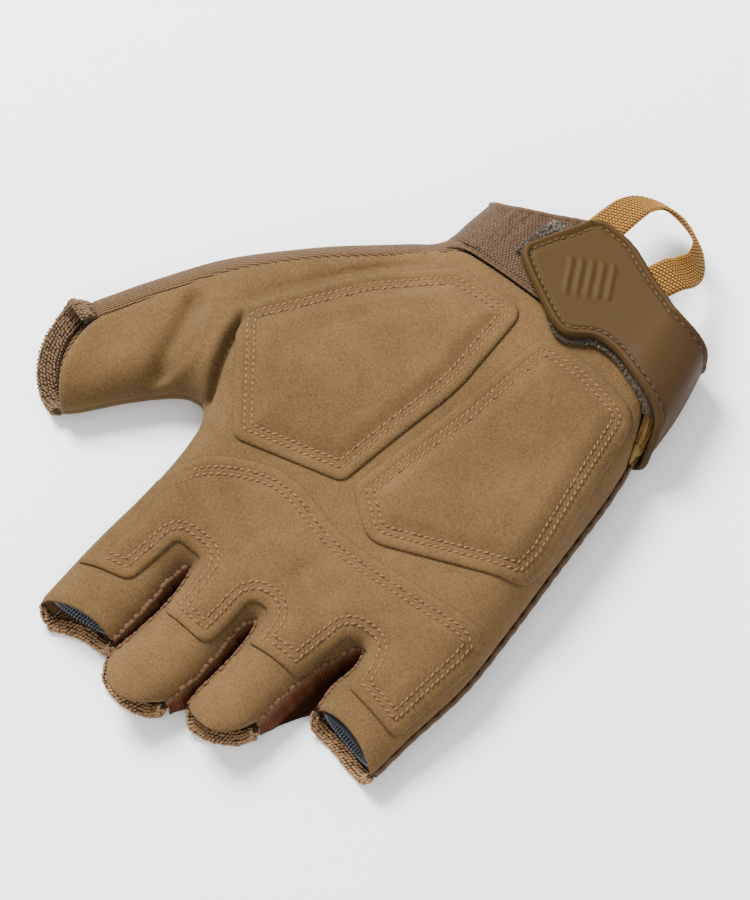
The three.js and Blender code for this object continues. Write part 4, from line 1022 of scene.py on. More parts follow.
class GloveColours(bpy.types.PropertyGroup):
    suede: colour_property("Suede", (0.080, 0.0446, 0.0148))
    suede_warm: colour_property("Suede in patches", (0.090, 0.0496, 0.0178))
    twill: colour_property("Twill", (0.088, 0.045, 0.0145))
    ribbed: colour_property("Ribbed fabric", (0.056, 0.0158, 0.0044))
    ribbed_top: colour_property("Ribbed fabric along its top", (0.082, 0.038, 0.0155))
    hem: colour_property("Hem knit", (0.225, 0.13, 0.062))
    # The hem knit's colour darkened as painted shade, because the thumb's hem faces up into the light
    thumb_hem: colour_property("Thumb hem", (0.105, 0.063, 0.033))
    # Near black: painted shade in the gaps between the hem's knitted loops
    hem_painted_shade: colour_property("Hem knit in its hollows", (0.035, 0.018, 0.008))
    lining: colour_property("Lining knit", (0.13, 0.135, 0.15))
    # Near black: painted shade inside the sleeves and between their loops
    lining_painted_shade: colour_property("Lining knit in its hollows", (0.01, 0.011, 0.014))
    elastic: colour_property("Elastic", (0.125, 0.07, 0.035))
    # Painted shade in the hollows of the weave
    elastic_painted_shade: colour_property("Elastic in its hollows", (0.026, 0.013, 0.006))
    piping: colour_property("Piping", (0.065, 0.034, 0.016))
    fleece: colour_property("Fleece", (0.17, 0.098, 0.024))
    loop_fabric: colour_property("Loop fastener", (0.15, 0.14, 0.118))
    hook_fabric: colour_property("Hook fastener", (0.045, 0.031, 0.018))
    rubber: colour_property("Rubber", (0.04, 0.0205, 0.0046))
    # Painted light: the strap turns greyer and a little lighter towards the side where it turns down
    rubber_side_painted_light: colour_property("Rubber towards the side", (0.044, 0.0235, 0.0088))
    webbing: colour_property("Webbing", (0.3, 0.133, 0.016))
    # Painted shade in the hollows between the weave's floats
    webbing_painted_shade: colour_property("Webbing in its hollows", (0.022, 0.0095, 0.002))
    thread: colour_property("Thread", (0.15, 0.077, 0.031))
    thread_dark: colour_property("Thread on the strap", (0.06, 0.034, 0.013))
    # Dark marks at the ends of the stitches: painted shade of the needle holes
    needle_hole_painted_shade: colour_property("Needle holes", (0.05, 0.028, 0.012))
    floor: colour_property("Floor", (0.93, 0.93, 0.93))


def settings():
    scene = bpy.context.scene
    return scene.glove_sizes, scene.glove_colours


FINISHES = {}


def finish(name):
    """The finish of that name, made the first time that it is asked for."""
    if name not in FINISHES:
        _, c = settings()
        FINISHES[name] = {
            "suede": lambda: suede_finish(c),
            "twill": lambda: twill_finish(c),
            "ribbed": lambda: ribbed_finish("ribbed_fabric", c.ribbed_top, c.ribbed),
            "welt": lambda: plain_cloth_finish("puckered_welt", c.ribbed_top, 0.8, 1500, 0.0002, 0.7),
            "hem": lambda: knit_finish("hem_knit", c.hem),
            "thumb_hem": lambda: knit_finish("thumb_hem_knit_painted_shade", c.thumb_hem),
            "hem_shade_core": lambda: plain_cloth_finish("hem_shade_sheet", c.hem_painted_shade),
            "lining_shade_sheet": lambda: plain_cloth_finish("lining_shade_sheet", c.lining_painted_shade),
            "lining": lambda: knit_finish("lining_knit", c.lining),
            "elastic": lambda: elastic_finish(c),
            "piping": lambda: plain_cloth_finish("piping", c.piping, 0.75, 1400, 0.0002, 0.6),
            "fleece": lambda: plain_cloth_finish("fleece", c.fleece, 1.0, 2000, 0.0005, 1.1),
            "loop": lambda: plain_cloth_finish("loop_fastener", c.loop_fabric, 1.0, 1600, 0.0005, 0.8),
            "hook": lambda: plain_cloth_finish("hook_fastener", c.hook_fabric, 0.8, 1200, 0.0005, 0.8),
            "rubber": lambda: rubber_finish(c),
            "webbing": lambda: webbing_finish(c),
            "thread": lambda: thread_finish("thread", c.thread),
            "hole": lambda: plain_cloth_finish("needle_hole_painted_shade", c.needle_hole_painted_shade),
            "strap_thread": lambda: thread_finish("strap_thread", c.thread_dark),
        }[name]()
    return FINISHES[name]


BACK = {}


def back_ribbons():
    """The back's grids and the rows along its thumb side, made the first time that they are asked for."""
    if not BACK:
        BACK["grids"], BACK["radial_rows"], _ = ribbons(
            CUFF_EDGE, start_rows=8, start_step=12, slit_angle=-48, thumb_inset=0.0,
            ulnar_angle=0, crotch_angle=-70, columns=20, lips=1, height=bottom_height)
    return BACK["grids"], BACK["radial_rows"]


TWILL_EDGE_ANGLE = math.degrees(math.acos(1 - (TWILL_OVERLAP - SEAM_GAP) / SIDES["radial"].width))


def cloth_map(points):
    """Flat map of the back's cloth, let out where it turns up the two long sides."""
    xy = points[..., :2].reshape(-1, 2)
    out = xy.copy()
    for name in ("radial", "ulnar"):
        side = SIDES[name]
        far, place, _ = nearest_on(side.coarse, xy)
        _, n = side.at(np.interp(place, np.arange(len(side.coarse)), side.s[::2]))
        arc = 7.75 * np.arccos(1 - np.minimum(far, 7) / 7) + np.maximum(far - 7, 0) - far
        out += n * (arc * (1 - smoothstep(far, 10, 30)))[:, None]
    return out.reshape(*points.shape[:2], 2)


# ---------------------------------------------------------------- pieces

class GLOVE_OT_palm(bpy.types.Operator):
    """Suede of the palm, from the wrist to the lips of the fingers, rolled under at the crotch."""
    bl_idname = "glove.palm"
    bl_label = "Palm"

    def execute(self, context):
        grids, _, crotch_s = ribbons(
            WRIST_EDGE, start_rows=6, start_step=14, slit_angle=22, thumb_inset=TWILL_OVERLAP,
            ulnar_angle=14, crotch_angle=0, columns=26, lips=0, height=top_height)
        cloth = Cloth()
        for grid, _ in grids.values():
            cloth.grid(grid)
        angles = np.linspace(-60, 0, 14)
        cloth.grid(edge_point(SIDES["crotch"], crotch_s[:, None], angles[None]))
        solid = thickened(cloth, -FABRIC_WALL, 0.0)
        make_piece("palm_panel", solid, [finish("suede")], ["palm_panel"])
        return {"FINISHED"}


class GLOVE_OT_back(bpy.types.Operator):
    """Twill of the back, up the thumb side as far as its seam with the palm."""
    bl_idname = "glove.back"
    bl_label = "Back"

    def execute(self, context):
        grids, radial_s = back_ribbons()
        cloth = Cloth()
        for grid, _ in grids.values():
            cloth.grid(grid, True, cloth_map(grid))
        radial = SIDES["radial"]
        s = radial_s[radial.at(radial_s)[0][:, 1] < BAND_NEAR_EDGE[0][1] + 1.5]
        angles = np.linspace(TWILL_EDGE_ANGLE, 0, 18)
        wrap = edge_point(radial, s[:, None], angles[None])
        lump = 0.16 * np.sin(s * 2.1 + np.sin(s * 0.7))[:, None] * smoothstep(angles, 38, 53)[None]
        wrap[..., 2] += lump - 0.5 * smoothstep(wrap[..., 1], 54.5, 56) * smoothstep(angles, 0, 8)[None]
        p, n = radial.at(s)
        uv = p[:, None] - n[:, None] * (14.5 * np.radians(angles))[None, :, None]
        cloth.grid(wrap, True, uv)
        solid = thickened(cloth, -FABRIC_WALL, 0.0)
        make_piece("back_panel", solid, [finish("twill")], ["back_panel"])
        return {"FINISHED"}


class GLOVE_OT_fourchettes(bpy.types.Operator):
    """Ribbed strips in the slits between the fingers, each with a puckered welt along its top."""
    bl_idname = "glove.fourchettes"
    bl_label = "Fourchettes"

    def execute(self, context):
        sizes, _ = settings()
        pitch = sizes.rib_pitch / MM
        for k, name in enumerate(WEB_SIDES[1:]):
            side = SIDES[name]
            s, angles = np.arange(0, side.length, 0.3), np.linspace(16, -38, 20)
            wall = edge_point(side, s[:, None], angles[None])
            uv = map_of(s[:, None], np.full((1, len(angles)), 0.5))
            strip = self.ribbed(Cloth().grid(wall, True, uv), pitch, -1.1, 0.1)
            fold = self.ribbed(self.folded(side), pitch, -0.45, 0.16)
            welts = [self.welt(side, np.arange(0.4, side.turn, 0.2), 0.78, pitch, k),
                     self.welt(side, np.arange(side.turn, side.length - 0.4, 0.2), 0.58, pitch, k + 3)]
            make_piece("fourchette_" + name, merged(strip, fold, *welts),
                       [finish("ribbed"), finish("ribbed"), finish("welt"), finish("welt")],
                       ["fourchette_" + name])
        return {"FINISHED"}

    @staticmethod
    def ribbed(cloth, pitch, lower, depth):
        """A cloth thickened with ribs of that depth."""
        points, faces, marks = cloth.welded()
        upper = depth * np.cos(2 * np.pi * marks[:, 0] / pitch)
        return thickened((points, faces, marks), lower, upper)

    @staticmethod
    def folded(side):
        """The slack of the strip: down the left finger, and across to the right one."""
        t = np.linspace(0.012, 1.0, int(max(side.turn, side.length - side.turn) / 0.16))
        a = edge_point(side, side.turn * (1 - t), 22)
        b = edge_point(side, mix(side.turn, side.length, t), 18)
        gap = np.linalg.norm((b - a)[:, :2], axis=1)
        way = (b - a)[:, :2] / gap[:, None]
        reach = np.minimum(FOURCHETTE_SLOPE, 0.62 * gap) * (1 - 0.7 * smoothstep(t, 0.84, 1.0))
        square = -side.at(side.turn * (1 - t))[1]
        way = mix(way, square, smoothstep(t, 0.15, 0.5)[:, None])
        foot = mix(a[:, 2], 0.9, smoothstep(t, -0.05, 0.22))
        wave = 0.22 * np.sin(t * 31) + 0.15 * np.sin(t * 57 + 1)
        inward = side.at(side.turn)[0] - (a + b)[:, :2] / 2
        inward = inward * (0.13 * smoothstep(t, 0.55, 1.0) ** 2)[:, None]
        slack = (0.5 + wave) * np.minimum(1, gap / 4)
        columns = []
        for c in np.linspace(0, 1, 30):
            if c < 0.62:
                u = c / 0.62
                xy = a[:, :2] + way * (reach * u + slack * math.sin(math.pi * u))[:, None]
                z = mix(a[:, 2], foot, u)
            else:
                v = (c - 0.62) / 0.38
                xy = mix(a[:, :2] + way * reach[:, None], b[:, :2], v)
                xy = xy + inward * math.sin(math.pi * v) ** 0.7
                z = mix(foot, b[:, 2] - 0.4, v ** 6)
            columns.append(np.concatenate([xy, z[:, None]], 1))
        grid = np.stack(columns, 1)
        # The map's second coordinate runs across the strip; past 0.55 the finish darkens it as painted shade
        uv = map_of((side.turn * t)[:, None], np.linspace(0, 1, 30)[None])
        return Cloth().grid(grid, True, uv)

    @staticmethod
    def welt(side, s, radius, pitch, k):
        """Puckered bead along part of a slit."""
        lump = (0.6 * np.sin(s * 1.5 + 1.9 * np.sin(s * 0.7 + k))
                + 0.4 * np.sin(s * 3.7 + 2 * np.sin(s * 0.5 + k)))
        rib = 0.05 * np.cos(2 * np.pi * s / pitch)
        path = edge_point(side, s, 21 + 3.5 * lump)
        path[:, 2] += 0.3 * lump
        return cord(path, radius + 0.16 * lump + rib, radius * 0.95 + 0.13 * lump + rib, 8)


def sewn_piece(name, outline, rings, sizes, crown, groove, swell, drop=None):
    """Suede sewn flat on the palm by a double row of stitches, each in a groove of that depth.

    The middle is raised by crown, a function of the distance from the edge, and swell rounds the edge.
    Stitches that drop picks are left out."""
    outline = anticlockwise(outline)
    outline = resampled(closed(outline), OUTLINE_STEP)[:-1]
    xy, faces = filled(outline, FILL_STEP, EDGE_RINGS[:rings])
    edge = nearest_on(closed(outline), xy)[0]
    upper = (sizes.suede_thickness / MM - SEWN_LIFT + crown(edge) + swell * smoothstep(edge, 0, 1.4)
             - sum(groove * bell(edge - d, 0.55) for d in STITCH_INSETS))
    points, faces, marks = Cloth().triangles(on_top(xy), faces).welded()
    upper = upper[nearest_index(points[:, :2], xy)]
    solid = thickened((points, faces, marks), SEWN_LIFT, upper)
    piece = make_piece(name, solid, [finish("suede")], [name])
    tree = tree_of(solid)
    rows = [stitches_on(tree, closed(offset_ring(outline, d)), sizes, drop) for d in STITCH_INSETS]
    joined = merged(*[row[:3] for row in rows])[:3]
    part = np.concatenate([row[3] for row in rows])
    make_piece(name + "_stitches", (*joined, part), [finish("thread"), finish("hole")])
    return piece, outline


def nearest_index(points, xy):
    """For welded points, the row of the flat point that each came from."""
    keys = {}
    for k, (x, y) in enumerate(np.round(xy, 4)):
        keys[(x, y)] = k
    return np.array([keys[(x, y)] for x, y in np.round(points, 4)])


class GLOVE_OT_pads(bpy.types.Operator):
    """The two stuffed pads of the palm, each sewn down with a double row of stitches."""
    bl_idname = "glove.pads"
    bl_label = "Pads"

    def execute(self, context):
        sizes, _ = settings()
        tall = sizes.pad_crown / MM
        crown = lambda edge: tall * (0.62 * smoothstep(edge, 4.9, 9.5) + 0.38 * smoothstep(edge, 6, 22))
        for name, corners in (("thenar_pad", THENAR), ("hypothenar_pad", HYPOTHENAR)):
            pad, _ = sewn_piece(name, rounded(corners, True), len(EDGE_RINGS), sizes, crown,
                                groove=0.34, swell=0.22)
        return {"FINISHED"}


class GLOVE_OT_knuckle_patch(bpy.types.Operator):
    """Suede patch over the finger roots, with a tab down each finger and a double row of stitches."""
    bl_idname = "glove.knuckle_patch"
    bl_label = "Knuckle patch"

    def execute(self, context):
        sizes, _ = settings()
        outline = np.concatenate([rounded(PATCH_LOWER, False), catmull(PATCH_UPPER, 10)])
        crown = lambda edge: 0.35 * smoothstep(edge, 5.5, 9)
        at_end = lambda p, along: (p[:, 0] < -16) & (np.abs(along[:, 1]) > np.abs(along[:, 0]) * 2.0)
        patch, outline = sewn_piece("knuckle_patch", outline, 11, sizes, crown, groove=0.3, swell=0.2,
                                    drop=at_end)
        size = (outline.max(0) - outline.min(0)) * MM
        flat_area(outline)
        return {"FINISHED"}


# Hems: how deep the ground lies under the knit, and the distance between two courses
HEM_SINK, HEM_COURSE = 0.28, 0.95


def knitted_hem(name, lip, axis, sizes, knit_name, width, left, right, taper):
    """Roll of knit past a lip, standing out along the axis, with its width in the middle and at its ends."""
    lip = resampled(lip, 0.7)
    total = lengths_of(lip)
    share = total / total[-1]
    along = unit(np.gradient(lip, axis=0))
    out = np.append(axis, 0.0)
    out = out[None] - along * (along @ out)[:, None]
    out = unit(np.stack([evened(out[:, k], 8) for k in range(3)], -1))
    outer = np.cross(along, out)
    centre = lip.mean(0) + np.array([0, 0, 4.0])
    if ((lip - centre) * outer).sum(1).mean() < 0:
        outer = -outer
    ends = mix(left, right, share)
    wide = HEM_GAP + ends + (width - ends) * 4 * share * (1 - share)
    wide = wide * mix(taper, 1.0, smoothstep(total, 0, 5))
    half = HEM_THICKNESS / 2
    flat_width = np.maximum(wide - half, 0.4)

    # The dark sheet under the knit, painted shade between the loops: out along the palm side, round the roll,
    # and back along the floor side
    profile = [(v, 0) for v in np.linspace(0, 1, 5)]
    profile += [(1.0, a) for a in np.linspace(0, 180, 7)[1:-1]]
    profile += [(v, 180) for v in np.linspace(1, 0, 5)]
    rings = []
    for v, turn in profile:
        a = math.radians(turn)
        w = HEM_GAP * 0.2 + (flat_width - HEM_GAP * 0.2) * v + (half - HEM_SINK) * math.sin(a)
        rings.append(lip + out * w[:, None] - outer * (half - (half - HEM_SINK) * math.cos(a)))
    core = facing_out(tube(np.stack(rings, 1)))

    # The knit: one leaning leg for each loop, course by course round the roll
    rng = np.random.default_rng(len(name))
    pitch = sizes.knit_pitch / MM
    columns = max(3, int(total[-1] / pitch))
    s = (np.arange(columns) + 0.5) * total[-1] / columns
    take = lambda values: np.stack([np.interp(s, total, values[:, k]) for k in range(3)], -1)
    base, o, n, t = take(lip), take(out), take(outer), take(along)
    full = np.interp(s, total, flat_width)
    quarter = half * math.pi / 2
    reach = int(math.ceil((flat_width.max() + quarter) / HEM_COURSE))
    legs = []
    for row in range(-reach, reach + 1):
        past = abs(row * HEM_COURSE) - quarter
        flat_part = past > 0
        if flat_part:
            theta = math.pi if row > 0 else 0.0
        else:
            theta = math.pi / 2 + row * HEM_COURSE / half
        w = full - past if flat_part else full + half * math.sin(theta)
        depth = half - half * math.cos(theta)
        normal = o * math.sin(theta) + n * math.cos(theta)
        course_way = o * math.cos(theta) - n * math.sin(theta)
        keep = w > 0.1
        if not keep.any():
            continue
        place = base + o * w[:, None] - n * depth + t * (0.5 * pitch * (row % 2))
        place += rng.normal(0, 0.09, place.shape)
        lean = (0.8 + rng.normal(0, 0.15, len(s)))[:, None]
        size = np.clip(w / 1.2, 0.45, 1) * rng.uniform(0.86, 1.14, len(s))
        legs.append(capsules(place[keep], (t + course_way * lean)[keep], normal[keep],
                             (KNIT_OVAL * size)[keep], (KNIT_RADIUS * size)[keep]))
    make_piece(name, merged(core, merged(*legs)[:3]), [finish("hem_shade_core"), finish(knit_name)], [name])


class GLOVE_OT_hems(bpy.types.Operator):
    """Knitted hems of the five openings."""
    bl_idname = "glove.hems"
    bl_label = "Hems"

    def execute(self, context):
        sizes, _ = settings()
        grids, _ = back_ribbons()
        radial, *webs = (SIDES[name] for name in ("radial", *WEB_SIDES))
        for (name, amounts), left, right in zip(FINGERS.items(), webs, webs[1:] + [None]):
            grid, axis = grids[name]
            lip = [edge_point(left, left.length, [2, -14, -32]), grid[-1]]
            if right:
                lip.append(edge_point(right, 0.0, [-32, -14, 4]))
            knitted_hem(name + "_hem", np.concatenate(lip), axis, sizes, "hem", *amounts[2:])
        lip = [edge_point(radial, radial.length, np.linspace(TWILL_EDGE_ANGLE, 6, 8)),
               grids["thumb"][0][-1],
               edge_point(webs[0], 0.0, [-40, -28])]
        # The thumb's hem takes the darker copy of the hem knit: painted shade
        knitted_hem("thumb_hem", np.concatenate(lip), THUMB_AXIS, sizes, "thumb_hem", *THUMB_END[2:])
        return {"FINISHED"}


class GLOVE_OT_linings(bpy.types.Operator):
    """Ribbed grey sleeves inside the five ends."""
    bl_idname = "glove.linings"
    bl_label = "Linings"

    def execute(self, context):
        ends = {
            "index": ("crotch", "index_middle"),
            "middle": ("index_middle", "middle_ring"),
            "ring": ("middle_ring", "ring_little"),
            "little": ("ring_little", "ulnar"),
            "thumb": ("radial", "crotch"),
        }
        whole = np.linspace(0, 2 * np.pi, 110, endpoint=False)
        low_half = np.linspace(math.pi * 1.02, math.pi * 1.98, 30)
        wobble = lambda depth: 0.07 * math.sin(depth * 4.2)
        for name, sides in ends.items():
            start = 0.9 if name == "little" else 2.0
            depths = np.linspace(start, 15, 16)
            rings = [self.ring(sides, d, 2.3 + wobble(d), whole, 0.16) for d in depths]
            rings += [self.ring(sides, d, 3.1 + wobble(d), whole, 0.16) for d in depths[::-1]]
            # The sleeve is near black, painted shade inside the finger; the grey knit lies on its lower half
            points, faces, marks = tube(np.stack(rings + rings[:1]), closed_ends=False)
            cloth = Cloth()
            cloth.points, cloth.marks, cloth.faces = [points], [marks], [np.array(faces)]
            sleeve = facing_out(cloth.welded())
            knit = []
            for k, d in enumerate(np.arange(start + 0.4, start + 8.0, 0.85)):
                here, beyond = (self.ring(sides, x, 3.2, low_half, 0) for x in (d, d + 0.5))
                core = here.mean(0) + np.array([0, 0, 5])
                lean = (-1) ** k * 0.25 * np.gradient(here, axis=0)
                knit.append(capsules(here, here - beyond + lean, core - here, 0.95, 0.33, flat=0.9))
            make_piece("lining_" + name, merged(sleeve, merged(*knit)[:3]),
                       [finish("lining_shade_sheet"), finish("lining")], ["lining_" + name])
        return {"FINISHED"}

    @staticmethod
    def ring(sides, depth, inset, turn, ripple):
        """Cut through a sleeve between two sides, at a depth from the lip and inset from the skin."""
        left, right = (SIDES[name] for name in sides)
        a, b = left.at(left.length - depth)[0], right.at(depth)[0]
        middle = (a + b) / 2
        half = np.linalg.norm(b - a) / 2 - inset
        way = (b - a) / np.linalg.norm(b - a)
        high = float(top_height(middle[None])[0]) - inset
        ripple = ripple * np.sin(turn * 44)
        x = np.cos(turn) * (half + ripple)
        z = (high + inset) / 2 + ((high - inset) / 2 + ripple) * np.sin(turn)
        return np.stack([middle[0] + way[0] * x, middle[1] + way[1] * x, z], -1)


class GLOVE_OT_cuff(bpy.types.Operator):
    """Elastic band over the wrist, the piping beside it and the two fastener layers on it."""
    bl_idname = "glove.cuff"
    bl_label = "Cuff"

    def execute(self, context):
        radial, ulnar = SIDES["radial"], SIDES["ulnar"]
        v = np.linspace(0, 1, 36)
        u = np.linspace(0.012, 0.988, 130)
        near, far = catmull(BAND_NEAR_EDGE), catmull(CUFF_EDGE)
        far[:, 1] -= 1.3 * (1 - smoothstep(far[:, 0], 8, 24))
        grid = on_top(mix(at_shares(near, u)[None], at_shares(far, u)[None], v[:, None, None]))
        grid[..., 2] += 0.14 * np.sin(u * 118 + np.sin(u * 37) * 2)[None] * (0.4 + 0.6 * v[:, None])
        left = edge_point(radial, mix(radial.at_y(BAND_NEAR_EDGE[0][1]), 2.0, v), 5)
        right = edge_point(ulnar, mix(ulnar.at_y(BAND_NEAR_EDGE[-1][1]), ulnar.length - 0.6, v), 5)
        grid = np.concatenate([left[:, None], grid, right[:, None]], 1)
        along = lengths_of(grid[len(v) // 2])
        uv = map_of(along[None], (v * 26)[:, None])
        band = thickened(Cloth().grid(grid, True, uv), -FABRIC_WALL, 0.0)
        edge = grid[-1, 1:-1] + np.array([0, 0, -0.35])
        roll = cord(resampled(edge, 0.8), 0.85, 0.62, 8)
        roll = (roll[0], roll[1], np.full_like(roll[2], 0.4))
        make_piece("cuff_band", merged(band, roll), [finish("elastic"), finish("piping")], ["cuff_band"])
        wrist = catmull(WRIST_EDGE)
        s = np.arange(0, lengths_of(wrist)[-1] * 0.72, 0.4)
        path = on_top(at_lengths(wrist, s) + np.array([0, 1.2]))
        path[:, 2] += 0.3
        pair = []
        for k, (dy, radius) in enumerate(((0.0, 0.45), (0.8, 0.32))):
            line = path + np.array([0, dy, -0.12 * k])
            pair.append(cord(line, radius + 0.06 * np.sin(s * 3.1), radius, 8))
        make_piece("wrist_binding", merged(*pair), [finish("piping")], ["wrist_binding"])
        self.fasteners()
        return {"FINISHED"}

    @staticmethod
    def layer(corners, rows, columns):
        """A grid over the four corners, laid on the palm side."""
        a, b, c, d = (np.array(p, float) for p in corners)
        v, u = np.linspace(0, 1, rows)[:, None, None], np.linspace(0, 1, columns)[None, :, None]
        return on_top(mix(mix(a, b, u), mix(d, c, u), v))

    def fasteners(self):
        """The loop layer with its pile, and the hook layer under the tab."""
        rng = np.random.default_rng(PILE_SEED)
        grid = self.layer(LOOP_LAYER, 24, 60)
        base = thickened(Cloth().grid(grid), 0.3, 0.9)
        count = LOOP_FIBRES
        picks = rng.random((count, 2)) ** np.array([2.4, 1.0])
        row, col = picks[:, 1] * (grid.shape[0] - 1), picks[:, 0] * (grid.shape[1] - 1)
        place = grid[row.astype(int), col.astype(int)] + rng.normal(0, 0.3, (count, 3)) * (1, 1, 0)
        place[:, 2] += 0.95 + rng.random(count) * 0.35
        pale = rng.random(count) < 0.12 + 0.5 * smoothstep(place[:, 1], 70, 79)
        tufted = merged(pile_of(rng, place[~pale], 0.1), pile_of(rng, place[pale], 0.085))
        ground = make_piece("loop_patch", base, [finish("hook")], ["loop_patch"])
        tufts = make_piece("loop_patch_pile", tufted, [finish("hook"), finish("loop")])
        flat_area(LOOP_LAYER)
        grid = self.layer(HOOK_LAYER, 16, 40)
        hooks = make_piece("hook_patch", thickened(Cloth().grid(grid), 1.5, 2.4), [finish("hook")],
                           ["hook_patch"])
        flat_area(HOOK_LAYER)
        self.hook_edge(rng)

    @staticmethod
    def hook_edge(rng):
        """The hook layer's edge with its pile, looking out from under the tab."""
        grid = strap_grid()
        last = int(np.argmax(grid[:, -1, 2] < 19))
        path = resampled(np.concatenate([grid[0, 6:-1], grid[:last, -1]])[:, :2], 0.5)
        along = np.gradient(path, axis=0)
        away = unit(np.stack([along[:, 1], -along[:, 0]], 1))
        away *= np.sign(((path - grid[12, STRAP_MIDDLE, :2]) * away).sum(1))[0]
        reach = 0.7 + 0.6 * smoothstep(path[:, 0], 30, 36) - 2.4 * bell(path[:, 0] - 20, 8)
        inner, outer = path - away * 3, path + away * reach[:, None]
        across_band = np.linspace(0, 1, 8)
        band = on_top(mix(inner[:, None], outer[:, None], across_band[None, :, None]))
        solid = facing_out(thickened(Cloth().grid(band, True), 0.9, 1.9))
        count = HOOK_FIBRES
        at, out = rng.integers(0, len(path), count), 1 - 0.45 * rng.random(count) ** 2
        place = on_top(mix(inner[at], outer[at], out[:, None])) + rng.normal(0, 0.12, (count, 3))
        place[:, 2] += 0.9 + 1.1 * rng.random(count)
        dark = pile_of(rng, place[PALE_HOOK_FIBRES:], 0.1)
        light = pile_of(rng, place[:PALE_HOOK_FIBRES], 0.08)
        solid = merged(merged(solid, dark)[:3], light)
        make_piece("hook_patch_edge", solid, [finish("hook"), finish("loop")])


def pile_of(rng, place, radius):
    """Short bent fibres, one at each place, each its own way."""
    count = len(place)
    angle = rng.random(count) * 2 * np.pi
    way = np.stack([np.cos(angle), np.sin(angle), rng.normal(0, 0.4, count)], -1)
    return capsules(place, way, np.tile(UP, (count, 1)), 0.7 + rng.random(count) * 0.6, radius, arch=0.3)


def flat_area(corners):
    x, y = np.array(corners, float)[:, :2].T
    return float(abs(x @ np.roll(y, -1) - y @ np.roll(x, -1)) / 2 * MM ** 2)


def strap_grid():
    """The strap's middle surface, from the tab's end with its round corners to the hidden end."""
    t = np.linspace(0, 1, STRAP_COLUMNS)
    ulnar = SIDES["ulnar"]
    line = lambda ends: mix(*np.array(ends, float), t[:, None])
    turn = []
    for angle, beyond, near in STRAP_TURN:
        points = edge_point(ulnar, mix(ulnar.length, ulnar.at_y(near), t), angle)
        along = (points[0] - points[1]) * (1, 1, 0)
        turn.append(points + along / np.linalg.norm(along) * (beyond * (1 - t))[:, None])
    stations = np.array([on_top(line(ends)) for ends in STRAP_TOP] + turn
                        + [on_bottom(line(ends)) for ends in STRAP_UNDER])
    grid = np.stack([catmull(stations[:, k], 14) for k in range(STRAP_COLUMNS)], 1)
    first = [mix(grid[0], grid[1], u) for u in np.linspace(0, 1, 4)[1:-1]]
    grid = np.concatenate([grid[:1], first, grid[1:]])
    away = lengths_of(grid[:, STRAP_MIDDLE])
    for row, far in zip(grid, away):
        if far < STRAP_CORNER:
            wide = lengths_of(row)
            inset = STRAP_CORNER - math.sqrt(STRAP_CORNER ** 2 - (STRAP_CORNER - far) ** 2)
            row[:] = at_lengths(row.copy(), mix(inset, wide[-1] - inset, t))
    return grid


def away_from(edge, points):
    """Distance from each point of a grid to a line of points in space."""
    edge = resampled(edge, 0.2)
    flat = points.reshape(-1, 3)
    out = [np.sqrt(((flat[k:k + 500, None] - edge) ** 2).sum(2).min(1))
           for k in range(0, len(flat), 500)]
    return np.concatenate(out).reshape(points.shape[:2])


